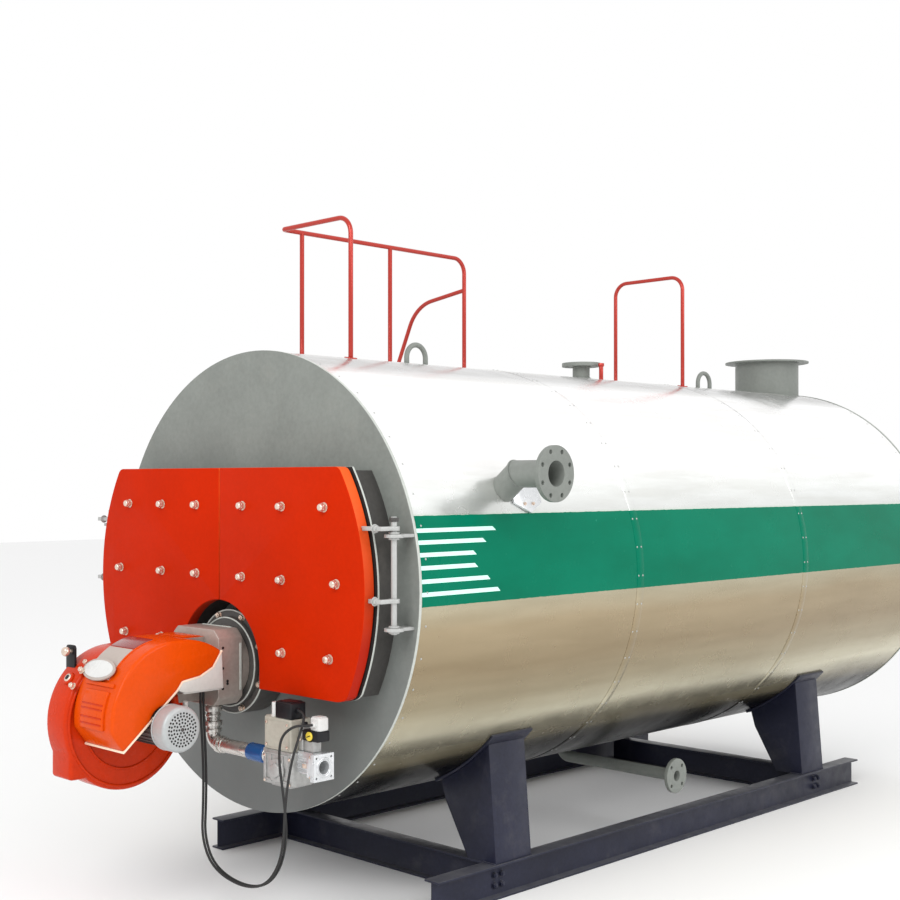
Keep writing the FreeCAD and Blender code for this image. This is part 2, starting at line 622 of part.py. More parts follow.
def lugs():
    """Two lifting eyes of bent bar on the shell's crown."""
    eyes = []
    for end, distance in (("front", "lug_front"), ("rear", "lug_rear")):
        half, height, radius = value("lug_width / 2"), value("lug_height"), value("lug_bar")
        y, foot = value(from_front(distance)), value(from_axis("shell_radius"))
        top = foot + height
        points = [Vector(0, y - half, foot - radius), Vector(0, y - half, top), Vector(0, y + half, top),
                  Vector(0, y + half, foot - radius)]
        eye = shaped(f"lug_{end}_bar", tube(points, radius, [half * EYE_BEND] * 2)[0])
        eyes.append(clear_of_shell(f"lug_{end}", eye, from_front(distance), "4 * lug_width"))
    node(group("lifting_lugs", *eyes), "lifting_lugs")


# ---------------------------------------------------------------- rails and ladder

RAIL_TOP = "(shell_radius + rail_rise)"
LADDER_X = "(shell_radius + ladder_gap)"


def rail_point(x, distance, rise):
    return Vector(value(x), value(from_front(distance)), value(from_axis(rise)))


def on_shell(name, solid, distance):
    return clear_of_shell(name, solid, from_front(distance), "4 * shell_radius")


def rail_tube(points, bends):
    return tube([rail_point(*p) for p in points], value("rail_radius"), [value(b) for b in bends])[0]


def post(x, distance, top):
    low = rail_point(x, distance, "shell_radius - 2 * rail_near")
    high = rail_point(x, distance, top)
    return Part.makeCylinder(value("rail_radius"), (high - low).Length, low, Vector(0, 0, 1))


def rails():
    low = "shell_radius - 2 * rail_near"
    hoop = rail_tube([("rail_near", "rail_front", low), ("rail_near", "rail_front", RAIL_TOP),
                      ("-rail_far", "rail_front", RAIL_TOP), ("-rail_far", "rail_side_end", RAIL_TOP),
                      ("-rail_far", "rail_side_end", low)], ["rail_bend", "2 * rail_radius", "rail_bend"])
    posts = [post("-rail_far", distance, RAIL_TOP) for distance in ("post_first", "post_second")]
    front = shaped("front_rail_bars", hoop.fuse(posts))
    node(on_shell("guard_rail_front", front, "rail_side_end"), "guard_rail_front")
    rear = rail_tube([("rail_near", "rail_rear", low), ("rail_near", "rail_rear", RAIL_TOP),
                      ("-rail_far", "rail_rear", RAIL_TOP), ("-rail_far", "rail_rear", low)],
                     ["rail_bend", "rail_bend"])
    node(on_shell("guard_rail_rear", shaped("rear_rail_bars", rear), "rail_rear"), "guard_rail_rear")


def ladder():
    """Two stringers down the shell's left side; the front one bends over to the guard rail."""
    foot, shoulder = "-axis_height", "ladder_shoulder"
    front, rear = "rail_side_end", "rail_side_end + ladder_width"
    bent = rail_tube([(f"-{LADDER_X}", front, foot), (f"-{LADDER_X}", front, shoulder),
                      ("-ladder_knee", front, f"{RAIL_TOP} - ladder_knee_drop"),
                      ("-rail_far", front, f"{RAIL_TOP} - ladder_top_drop")],
                     ["ladder_shoulder_bend", "ladder_knee_bend"])
    straight = Part.makeCylinder(value("rail_radius"), value("axis_height + ladder_shoulder"),
                                 rail_point(f"-{LADDER_X}", rear, foot), Vector(0, 0, 1))
    rungs = [Part.makeCylinder(value("rung_radius"), value("ladder_width"),
                               rail_point(f"-{LADDER_X}", front, f"-axis_height + {i + 1} * rung_pitch"),
                               Vector(0, 1, 0)) for i in range(int(value("rung_count")))]
    corner_post = cylinder("ladder_post_room", "rail_radius + seat_gap", RAIL_TOP,
                           ("-rail_far", from_front(front), "axis_height"), "Z")
    node(cut("ladder", shaped("ladder_bars", bent.fuse([straight, *rungs])), corner_post), "ladder")


# ---------------------------------------------------------------- cables

# The cables' shared loop below the gas train, as (across, up) from the shell's axis,
# and each one's own way up to its plug, as (across, behind the front plate, up).
CABLE_LOOP = [(93, -394), (93, -480), (105, -610), (113, -745), (110, -870), (103, -975), (149, -1068),
              (250, -1112), (385, -1121), (495, -1086), (566, -1003), (595, -900)]
SWITCH_RISE = [(585, -330, -795), (556, -322, -700), (537, -320, -610), (548, -318, -532),
               (604, -303, -488), (640, -276, -488), (640, -235, -488)]
SOLENOID_RISE = [(600, -344, -795), (608, -338, -700), (614, -322, -610), (616, -292, -535),
                 (604, -255, -478), (580, -234, -450), (543, -232, -448)]

# A bend's radius as a share of its shorter run over the tangent of half the turn.
CABLE_BEND = 0.45


def cable(label, behind, rise):
    loop = [(x, behind, z) for x, z in CABLE_LOOP]
    points = [Vector(x, y - value("front_overhang"), z + value("axis_height")) for x, y, z in loop + rise]
    radii = []
    for before, corner, after in zip(points, points[1:], points[2:]):
        turn = (corner - before).getAngle(after - corner)
        shorter = min((corner - before).Length, (after - corner).Length)
        radii.append(CABLE_BEND * shorter / math.tan(turn / 2))
    solid, path = tube(points, value("cable_radius"), radii)
    node(shaped(label, solid), label)
    section = math.pi * value("cable_radius") ** 2
    print(label, "radii", [round(r) for r in radii], "length", round(path.Length),
          "volume ratio", round(solid.Volume / (section * path.Length), 4))


def cables():
    cable("switch_cable", -330, SWITCH_RISE)
    cable("solenoid_cable", -344, SOLENOID_RISE)


for build in (skid, pads, shell, smoke_box, doors, hinges, burner, gas_train, steam_nozzle, chimney,
              side_nozzle, drain, lugs, rails, ladder, cables):
    build()
saddle("front", "saddle_offset")
saddle("rear", "(cross_pitch - saddle_offset)")

doc.recompute()
failed = [o.Name for o in doc.Objects if {"Invalid", "Error"} & set(o.State)]
bad = [n.Label for n in nodes if n.Shape.isNull() or not n.Shape.isValid() or not n.Shape.Solids]
if failed or bad:
    raise SystemExit(f"failed features {failed}, bad sub-parts {bad}")
os.makedirs("parts", exist_ok=True)
for piece in nodes:
    piece.Shape.exportStep(f"parts/{piece.Label}.step")
    print(piece.Label, len(piece.Shape.Solids), round(piece.Shape.Volume / 1e6, 2))
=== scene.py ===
"""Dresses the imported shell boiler: finishes, fittings, cables and a plain studio."""

import logging
import math
from dataclasses import dataclass, field
from enum import Enum
from typing import Callable, Iterable, Sequence

import bpy
from mathutils import Matrix, Vector

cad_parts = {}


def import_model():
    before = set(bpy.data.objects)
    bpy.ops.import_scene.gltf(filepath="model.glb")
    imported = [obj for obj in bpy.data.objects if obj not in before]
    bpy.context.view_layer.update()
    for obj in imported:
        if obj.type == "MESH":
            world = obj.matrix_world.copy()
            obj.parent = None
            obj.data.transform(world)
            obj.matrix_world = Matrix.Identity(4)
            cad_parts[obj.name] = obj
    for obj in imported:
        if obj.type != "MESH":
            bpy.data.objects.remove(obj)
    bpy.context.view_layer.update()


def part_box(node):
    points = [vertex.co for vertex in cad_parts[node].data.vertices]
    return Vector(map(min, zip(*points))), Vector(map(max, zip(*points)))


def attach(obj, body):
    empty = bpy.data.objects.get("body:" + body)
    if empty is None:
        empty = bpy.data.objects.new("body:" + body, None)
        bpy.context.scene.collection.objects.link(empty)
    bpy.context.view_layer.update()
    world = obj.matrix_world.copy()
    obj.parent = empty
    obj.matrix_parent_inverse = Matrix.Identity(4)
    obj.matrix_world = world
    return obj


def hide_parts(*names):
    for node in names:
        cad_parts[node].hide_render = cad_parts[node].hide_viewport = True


log = logging.getLogger("boiler")

BODY, RIGHT_DOOR, LEFT_DOOR = "boiler", "right_door", "left_door"
Test = Callable[[Vector, Vector], bool]
Colour = tuple[float, float, float]


# ---------------------------------------------------------------- bench


class Axis(Enum):
    """The three row axes, each as the turn that stands a primitive's Z along it."""

    X = (0.0, math.pi / 2, 0.0)
    Y = (-math.pi / 2, 0.0, 0.0)
    Z = (0.0, 0.0, 0.0)


def pick(*pieces: bpy.types.Object) -> bpy.types.Object:
    """Selects only these pieces and makes the first one active.

    Args:
        pieces: the pieces to select.

    Returns:
        The first piece.
    """
    if bpy.context.object and bpy.context.object.mode != "OBJECT":
        bpy.ops.object.mode_set(mode="OBJECT")
    bpy.ops.object.select_all(action="DESELECT")
    for piece in pieces:
        piece.select_set(True)
    bpy.context.view_layer.objects.active = pieces[0]
    return pieces[0]


def seat(piece: bpy.types.Object, name: str) -> bpy.types.Object:
    """Names a fresh primitive and moves its place into its mesh.

    Args:
        piece: the piece.
        name: its new name.

    Returns:
        The piece.
    """
    pick(piece)
    bpy.ops.object.transform_apply(location=True, rotation=True, scale=True)
    piece.name = piece.data.name = name
    return piece


def round_bar(name: str, radius: float, length: float, centre: Sequence[float], along: Axis = Axis.Z,
              sides: int = 32) -> bpy.types.Object:
    """Adds a cylinder as the start of a turned piece.

    Args:
        name: the piece's name.
        radius: its radius.
        length: its length.
        centre: its middle.
        along: the axis it lies along.
        sides: how many flats it has.

    Returns:
        The piece.
    """
    bpy.ops.mesh.primitive_cylinder_add(vertices=sides, radius=radius, depth=length, location=centre,
                                        rotation=along.value)
    return seat(bpy.context.object, name)


def block(name: str, low: Sequence[float], high: Sequence[float]) -> bpy.types.Object:
    """Adds a box between two corners as the start of a square piece.

    Args:
        name: the piece's name.
        low: its lowest corner.
        high: its highest corner.

    Returns:
        The piece.
    """
    centre = [(a + b) / 2 for a, b in zip(low, high)]
    bpy.ops.mesh.primitive_cube_add(size=1, location=centre)
    piece = bpy.context.object
    piece.scale = [b - a for a, b in zip(low, high)]
    return seat(piece, name)


def choose(piece: bpy.types.Object, test: Test) -> int:
    """Selects the faces that pass a test and enters edit mode.

    Args:
        piece: the piece.
        test: takes a face's centre and normal.

    Returns:
        How many faces are selected.
    """
    pick(piece)
    mesh = piece.data
    for part in (mesh.vertices, mesh.edges, mesh.polygons):
        part.foreach_set("select", [False] * len(part))
    count = 0
    for face in mesh.polygons:
        face.select = test(face.center, face.normal)
        count += face.select
    bpy.ops.object.mode_set(mode="EDIT")
    bpy.ops.mesh.select_mode(type="FACE")
    return count


def done() -> None:
    """Leaves edit mode."""
    bpy.ops.object.mode_set(mode="OBJECT")


def step_in(piece: bpy.types.Object, test: Test, inset: float, depth: float = 0.0) -> None:
    """Insets the chosen faces and pushes them along their normal.

    Args:
        piece: the piece.
        test: chooses the faces.
        inset: how far in from the edge.
        depth: how far out, or in where negative.
    """
    choose(piece, test)
    bpy.ops.mesh.inset(thickness=inset, depth=depth, use_boundary=True)
    done()


def push(piece: bpy.types.Object, test: Test, move: Sequence[float]) -> None:
    """Extrudes the chosen faces by a vector.

    Args:
        piece: the piece.
        test: chooses the faces.
        move: the vector.
    """
    choose(piece, test)
    bpy.ops.mesh.extrude_region_move(TRANSFORM_OT_translate={"value": tuple(move)})
    done()


def soften(piece: bpy.types.Object, width: float, segments: int = 2, angle: float = 35.0) -> bpy.types.Object:
    """Rounds the sharp edges and shades the piece smooth between them.

    Args:
        piece: the piece.
        width: the bevel's width.
        segments: its steps.
        angle: edges sharper than this are rounded, in degrees.

    Returns:
        The piece.
    """
    pick(piece)
    bevel = piece.modifiers.new("round", "BEVEL")
    bevel.width, bevel.segments, bevel.limit_method = width, segments, "ANGLE"
    bevel.angle_limit = math.radians(angle)
    bevel.use_clamp_overlap = True
    bpy.ops.object.modifier_apply(modifier=bevel.name)
    bpy.ops.object.shade_smooth_by_angle(angle=math.radians(angle))
    return piece


def join(name: str, pieces: Sequence[bpy.types.Object]) -> bpy.types.Object:
    """Joins pieces into one.

    Args:
        name: the joined piece's name.
        pieces: the pieces.

    Returns:
        The joined piece.
    """
    whole = pick(*pieces)
    if len(pieces) > 1:
        bpy.ops.object.join()
    whole.name = whole.data.name = name
    return whole


def repeat(name: str, pattern: bpy.types.Object, places: Iterable[Matrix]) -> bpy.types.Object:
    """Copies a piece modelled at the origin to each place, and joins the copies.

    Args:
        name: the joined piece's name.
        pattern: the piece that is copied, and then removed.
        places: where each copy goes.

    Returns:
        The joined piece.
    """
    copies = []
    for place in places:
        mesh = pattern.data.copy()
        mesh.transform(place)
        copy = bpy.data.objects.new(name, mesh)
        bpy.context.scene.collection.objects.link(copy)
        copies.append(copy)
    bpy.data.objects.remove(pattern)
    return join(name, copies)


def facing(point: Sequence[float], direction: Sequence[float] = (0, 0, 1)) -> Matrix:
    """The place of a copy whose Z turns to a direction.

    Args:
        point: where it goes.
        direction: which way its Z turns.

    Returns:
        The place.
    """
    return Matrix.Translation(Vector(point)) @ Vector(direction).to_track_quat("Z", "Y").to_matrix().to_4x4()


def refine(node: str, name: str, width: float, segments: int = 2, angle: float = 35.0) -> bpy.types.Object:
    """Copies a CAD node, merges its loose triangles and rounds its sharp edges.

    Args:
        node: the CAD node.
        name: the copy's name.
        width: the bevel's width, or 0 to leave the edges for later.
        segments: the bevel's steps.
        angle: edges sharper than this are rounded, in degrees.

    Returns:
        The copy, which stands for the node.
    """
    source = bpy.data.objects[node]
    copy = bpy.data.objects.new(name, source.data.copy())
    copy.data.materials.clear()
    bpy.context.scene.collection.objects.link(copy)
    pick(copy)
    bpy.ops.object.mode_set(mode="EDIT")
    bpy.ops.mesh.select_all(action="SELECT")
    bpy.ops.mesh.remove_doubles(threshold=0.00005)
    bpy.ops.mesh.dissolve_limited(angle_limit=math.radians(0.5))
    done()
    if copy.data.has_custom_normals:
        bpy.ops.mesh.customdata_custom_splitnormals_clear()
    return soften(copy, width, segments, angle) if width else copy


def beam(name: str, start: Sequence[float], end: Sequence[float], width: float, depth: float,
         up: Sequence[float] = (0, 0, 1)) -> bpy.types.Object:
    """Adds a flat bar from one point to another.

    Args:
        name: the piece's name.
        start: the middle of its first end.
        end: the middle of its last end.
        width: its size across, along neither the bar nor the up direction.
        depth: its size in the up direction.
        up: which way its depth points.

    Returns:
        The piece.
    """
    first, last = Vector(start), Vector(end)
    along = (last - first).normalized()
    side = Vector(up).cross(along).normalized()
    top = along.cross(side).normalized()
    piece = block(name, (0, -width / 2, -depth / 2), ((last - first).length, width / 2, depth / 2))
    turn = Matrix((along, side, top)).transposed().to_4x4()
    piece.data.transform(Matrix.Translation(first) @ turn)
    return piece


def ring(name: str, radius: float, thickness: float, place: Matrix, sides: int = 40) -> bpy.types.Object:
    """Adds a round bead bent to a circle, such as a weld or a wire ring.

    Args:
        name: the piece's name.
        radius: the circle's radius.
        thickness: the bead's radius.
        place: where it goes, with its Z as the circle's axis.
        sides: the steps round the circle.

    Returns:
        The piece.
    """
    bpy.ops.mesh.primitive_torus_add(major_radius=radius, minor_radius=thickness, major_segments=sides,
                                     minor_segments=10)
    piece = seat(bpy.context.object, name)
    piece.data.transform(place)
    bpy.ops.object.shade_smooth()
    return piece


def disc(name: str, radius: float, height: float, place: Matrix, sides: int = 32,
         bevel: float = 0.0) -> bpy.types.Object:
    """Adds a turned disc that stands on a place, with its edges rounded.

    Args:
        name: the piece's name.
        radius: its radius.
        height: how far it stands out along the place's Z.
        place: where its foot goes.
        sides: its flats.
        bevel: the width of its rounded edges.

    Returns:
        The piece.
    """
    piece = round_bar(name, radius, height, (0, 0, height / 2), sides=sides)
    if bevel:
        soften(piece, bevel, 3)
    piece.data.transform(place)
    return piece


def ribbon(name: str, outline: Sequence[tuple[float, float]], left: float, right: float) -> bpy.types.Object:
    """Pushes a closed outline in the YZ plane along X.

    Args:
        name: the piece's name.
        outline: its corners, as (y, z), in order.
        left: the X of its first face.
        right: the X of its last face.

    Returns:
        The piece.
    """
    bpy.ops.mesh.primitive_circle_add(vertices=len(outline), fill_type="NGON")
    piece = seat(bpy.context.object, name)
    for vertex, (y, z) in zip(piece.data.vertices, outline):
        vertex.co = (left, y, z)
    push(piece, lambda centre, normal: True, (right - left, 0, 0))
    bpy.ops.object.mode_set(mode="EDIT")
    bpy.ops.mesh.select_all(action="SELECT")
    bpy.ops.mesh.normals_make_consistent(inside=False)
    done()
    return piece


def round_edges(piece: bpy.types.Object, near: Callable[[Vector, Vector], bool], width: float,
                segments: int = 6) -> bpy.types.Object:
    """Rounds only the edges whose two ends pass a test.

    Args:
        piece: the piece.
        near: takes the two ends of an edge.
        width: the round's width.
        segments: its steps.

    Returns:
        The piece.
    """
    choose(piece, lambda centre, normal: False)
    bpy.ops.mesh.select_mode(type="EDGE")
    done()
    spots = [vertex.co.copy() for vertex in piece.data.vertices]
    for edge in piece.data.edges:
        first, last = (spots[index] for index in edge.vertices)
        edge.select = near(first, last)
    bpy.ops.object.mode_set(mode="EDIT")
    bpy.ops.mesh.bevel(offset=width, segments=segments, affect="EDGES")
    done()
    return piece


def sweep(name: str, points: Sequence[Sequence[float]], radius: float) -> bpy.types.Object:
    """Adds a smooth round cable through a list of points.

    Args:
        name: the cable's name.
        points: its route.
        radius: its radius.

    Returns:
        The cable, a curve.
    """
    data = bpy.data.curves.new(name, "CURVE")
    data.dimensions, data.bevel_depth, data.bevel_resolution = "3D", radius, 4
    data.use_fill_caps = True
    spline = data.splines.new("NURBS")
    spline.points.add(len(points) - 1)
    for point, spot in zip(spline.points, points):
        point.co = (*spot, 1.0)
    spline.order_u, spline.resolution_u = 3, 8
    spline.use_endpoint_u = True
    cable = bpy.data.objects.new(name, data)
    bpy.context.scene.collection.objects.link(cable)
    return cable


class Datum:
    """The two planes that every place is counted from, read from the frame."""

    def __init__(self) -> None:
        """Reads the front plate's face and the shell's axis."""
        low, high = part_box("front_plate")
        self.front = low.y
        self.axis = (low.z + high.z) / 2
        self.radius = (high.x - low.x) / 2

    def at(self, x: float, behind: float, rise: float) -> Vector:
        """A point by its distance behind the front plate and its rise over the shell's axis."""
        return Vector((x, self.front + behind, self.axis + rise))

    def on_shell(self, angle: float, behind: float, off: float = 0.0) -> Vector:
        """A point over the casing at an angle above horizontal, in degrees."""
        turn = math.radians(angle)
        reach = self.radius + off
        return self.at(reach * math.cos(turn), behind, reach * math.sin(turn))


# ---------------------------------------------------------------- finishes


class Graph:
    """A material's node tree, built by short calls."""

    def __init__(self, name: str) -> None:
        """Starts an empty tree with a principled shader and its output."""
        self.material = bpy.data.materials.new(name)
        self.material.use_nodes = True
        self.tree = self.material.node_tree
        self.tree.nodes.clear()
        self.shader = self.add("ShaderNodeBsdfPrincipled")
        output = self.add("ShaderNodeOutputMaterial")
        self.wire(self.shader.outputs[0], output.inputs[0])
        self.place = self.add("ShaderNodeTexCoord").outputs["Object"]

    def add(self, kind: str, **options: object) -> bpy.types.Node:
        """Adds a node and sets its options."""
        node = self.tree.nodes.new(kind)
        for key, option in options.items():
            setattr(node, key, option)
        return node

    def wire(self, source: object, socket: bpy.types.NodeSocket) -> None:
        """Links an output to a socket, or sets the socket to a number or colour."""
        if isinstance(source, bpy.types.NodeSocket):
            self.tree.links.new(source, socket)
        else:
            socket.default_value = source

    def maths(self, operation: str, first: object, second: object = 0.0) -> bpy.types.NodeSocket:
        """Works out one sum on two values."""
        node = self.add("ShaderNodeMath", operation=operation)
        self.wire(first, node.inputs[0])
        self.wire(second, node.inputs[1])
        return node.outputs[0]

    def noise(self, scale: float, detail: float = 4.0, stretch: Sequence[float] = (1, 1, 1),
              rough: float = 0.55) -> bpy.types.NodeSocket:
        """Adds a noise on the object's own coordinates, stretched by axis."""
        mapping = self.add("ShaderNodeMapping")
        self.wire(self.place, mapping.inputs["Vector"])
        mapping.inputs["Scale"].default_value = tuple(stretch)
        node = self.add("ShaderNodeTexNoise")
        self.wire(mapping.outputs[0], node.inputs["Vector"])
        node.inputs["Scale"].default_value = scale
        node.inputs["Detail"].default_value = detail
        node.inputs["Roughness"].default_value = rough
        return node.outputs[0]

    def ramp(self, source: object, stops: Sequence[tuple[float, Colour]],
             smooth: bool = False) -> bpy.types.NodeSocket:
        """Turns a value into a colour by stops."""
        node = self.add("ShaderNodeValToRGB")
        elements = node.color_ramp.elements
        if smooth:
            node.color_ramp.interpolation = "EASE"
        while len(elements) < len(stops):
            elements.new(0.5)
        for element, (place, colour) in zip(elements, stops):
            element.position, element.color = place, (*colour, 1.0)
        self.wire(source, node.inputs[0])
        return node.outputs[0]

    def span(self, source: object, low: float, high: float, to_low: float = 0.0,
             to_high: float = 1.0) -> bpy.types.NodeSocket:
        """Maps one range of a value to another, clamped."""
        node = self.add("ShaderNodeMapRange")
        self.wire(source, node.inputs["Value"])
        for socket, number in zip(("From Min", "From Max", "To Min", "To Max"), (low, high, to_low, to_high)):
            node.inputs[socket].default_value = number
        return node.outputs[0]

    def blend(self, factor: object, first: object, second: object, mode: str = "MIX") -> bpy.types.NodeSocket:
        """Mixes two colours."""
        node = self.add("ShaderNodeMix", data_type="RGBA", blend_type=mode)
        for socket, source in zip((node.inputs[0], node.inputs[6], node.inputs[7]), (factor, first, second)):
            self.wire((*source, 1.0) if isinstance(source, tuple) else source, socket)
        return node.outputs[2]

    def bump(self, height: object, strength: float, distance: float) -> None:
        """Gives the shader a bump, on top of any that it has."""
        node = self.add("ShaderNodeBump")
        node.inputs["Strength"].default_value = strength
        node.inputs["Distance"].default_value = distance
        self.wire(height, node.inputs["Height"])
        normal = self.shader.inputs["Normal"]
        if normal.is_linked:
            self.wire(normal.links[0].from_socket, node.inputs["Normal"])
        self.wire(node.outputs[0], normal)

    def split(self) -> tuple[bpy.types.NodeSocket, ...]:
        """The object coordinates as three values."""
        node = self.add("ShaderNodeSeparateXYZ")
        self.wire(self.place, node.inputs[0])
        return tuple(node.outputs[:3])


class Sheen(Enum):
    """How a surface shines, as its roughness."""

    MATT = 0.62
    SATIN = 0.42
    GLOSS = 0.26
    POLISH = 0.16


def tone(red: int, green: int, blue: int) -> Colour:
    """A screen colour from 0 to 255 as a linear one."""
    return tuple(((c / 255 + 0.055) / 1.055) ** 2.4 if c > 10 else c / 255 / 12.92 for c in (red, green,
                                                                                             blue))


@dataclass(frozen=True)
class Finish:
    """One finish of the boiler.

    Attributes:
        name: the material's name.
        colour: its base colour, linear.
        sheen: how it shines.
        metal: 0 for paint and plastic, 1 for bare metal.
        slot: the record's slot; not used.
        mottle: how much its colour varies.
        grain: the size of its finest unevenness, in metres.
        relief: the depth of that unevenness, in metres.
        coat: a clear coat over it.
        dirt: how much dust lies in broad patches.
        gleam: the strength of its plain reflection.
        paler_upward: how much paler it is on upward faces, in noisy patches.
        painted_shade_tone: a darker colour that it turns to lower down, painted shade where the part lies in
            shadow, or none.
        painted_shade_levels: the lowest and highest level of that painted shade, in metres.
    """

    name: str
    colour: Colour
    sheen: Sheen
    slot: str
    metal: float = 0.0
    mottle: float = 0.12
    grain: float = 0.004
    relief: float = 0.0002
    coat: float = 0.0
    dirt: float = 0.1
    gleam: float = 0.4
    paler_upward: float = 0.0
    painted_shade_tone: Colour | None = None
    painted_shade_levels: tuple[float, float] = (1.1, 1.7)

    def material(self) -> bpy.types.Material:
        """Builds the finish's material, once."""
        found = bpy.data.materials.get(self.name)
        if found:
            return found
        graph = Graph(self.name)
        dark = tuple(c * (1 - self.mottle) for c in self.colour)
        light = tuple(min(1.0, c * (1 + self.mottle)) for c in self.colour)
        broad = graph.ramp(graph.noise(2.5, 5.0), [(0.3, dark), (0.7, light)])
        fine = graph.ramp(graph.noise(60.0, 3.0), [(0.3, (1 - self.mottle,) * 3), (0.7, (1.0, 1.0, 1.0))])
        colour = graph.blend(1.0, broad, fine, "MULTIPLY")
        # Lower down the colour turns to a darker tone: painted shade.
        if self.painted_shade_tone:
            level = graph.span(graph.split()[2], *self.painted_shade_levels)
            colour = graph.blend(level, self.painted_shade_tone, colour)
        dust = graph.span(graph.noise(7.0, 6.0, rough=0.7), 0.55, 0.85, 0.0, self.dirt)
        colour = graph.blend(dust, colour, (0.42, 0.38, 0.32))
        if self.paler_upward:
            facing_up = graph.add("ShaderNodeSeparateXYZ")
            graph.wire(graph.add("ShaderNodeNewGeometry").outputs["Normal"], facing_up.inputs[0])
            patch = graph.span(graph.noise(14.0, 5.0), 0.3, 0.7, 0.6, 1.0)
            upward = graph.span(facing_up.outputs[2], 0.5, 0.95, 0.0, self.paler_upward)
            pale = tuple(c * 0.5 + 0.10 for c in self.colour)
            colour = graph.blend(graph.maths("MULTIPLY", upward, patch), colour, pale)
        graph.wire(colour, graph.shader.inputs["Base Color"])
        graph.wire(self.metal, graph.shader.inputs["Metallic"])
        graph.wire(self.gleam, graph.shader.inputs["Specular IOR Level"])
        rough = graph.span(graph.noise(18.0, 4.0), 0.3, 0.7, self.sheen.value * 0.85, self.sheen.value * 1.2)
        graph.wire(rough, graph.shader.inputs["Roughness"])
        if self.coat:
            graph.wire(self.coat, graph.shader.inputs["Coat Weight"])
            graph.wire(0.12, graph.shader.inputs["Coat Roughness"])
        graph.bump(graph.noise(1.0 / self.grain, 3.0), 0.6, self.relief)
        return graph.material

    def dress(self, piece: bpy.types.Object, body: str = BODY, *nodes: str) -> bpy.types.Object:
        """Puts the finish on a piece and fixes the piece to a body.

        Args:
            piece: the piece.
            body: the body it rides on.
            nodes: the CAD nodes it stands for.

        Returns:
            The piece.
        """
        piece.data.materials.clear()
        piece.data.materials.append(self.material())
        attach(piece, body)
        if nodes:
            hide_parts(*nodes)
        log.info("%s: %d faces, %s", piece.name, len(getattr(piece.data, "polygons", ())), self.name)
        return piece

    def edge(self, piece: bpy.types.Object, test: Test) -> bpy.types.Object:
        """Puts this finish on the faces of a dressed piece that pass a test.

        Args:
            piece: the piece.
            test: takes a face's centre and normal.

        Returns:
            The piece.
        """
        piece.data.materials.append(self.material())
        index = len(piece.data.materials) - 1
        for face in piece.data.polygons:
            if test(face.center, face.normal):
                face.material_index = index
        return piece


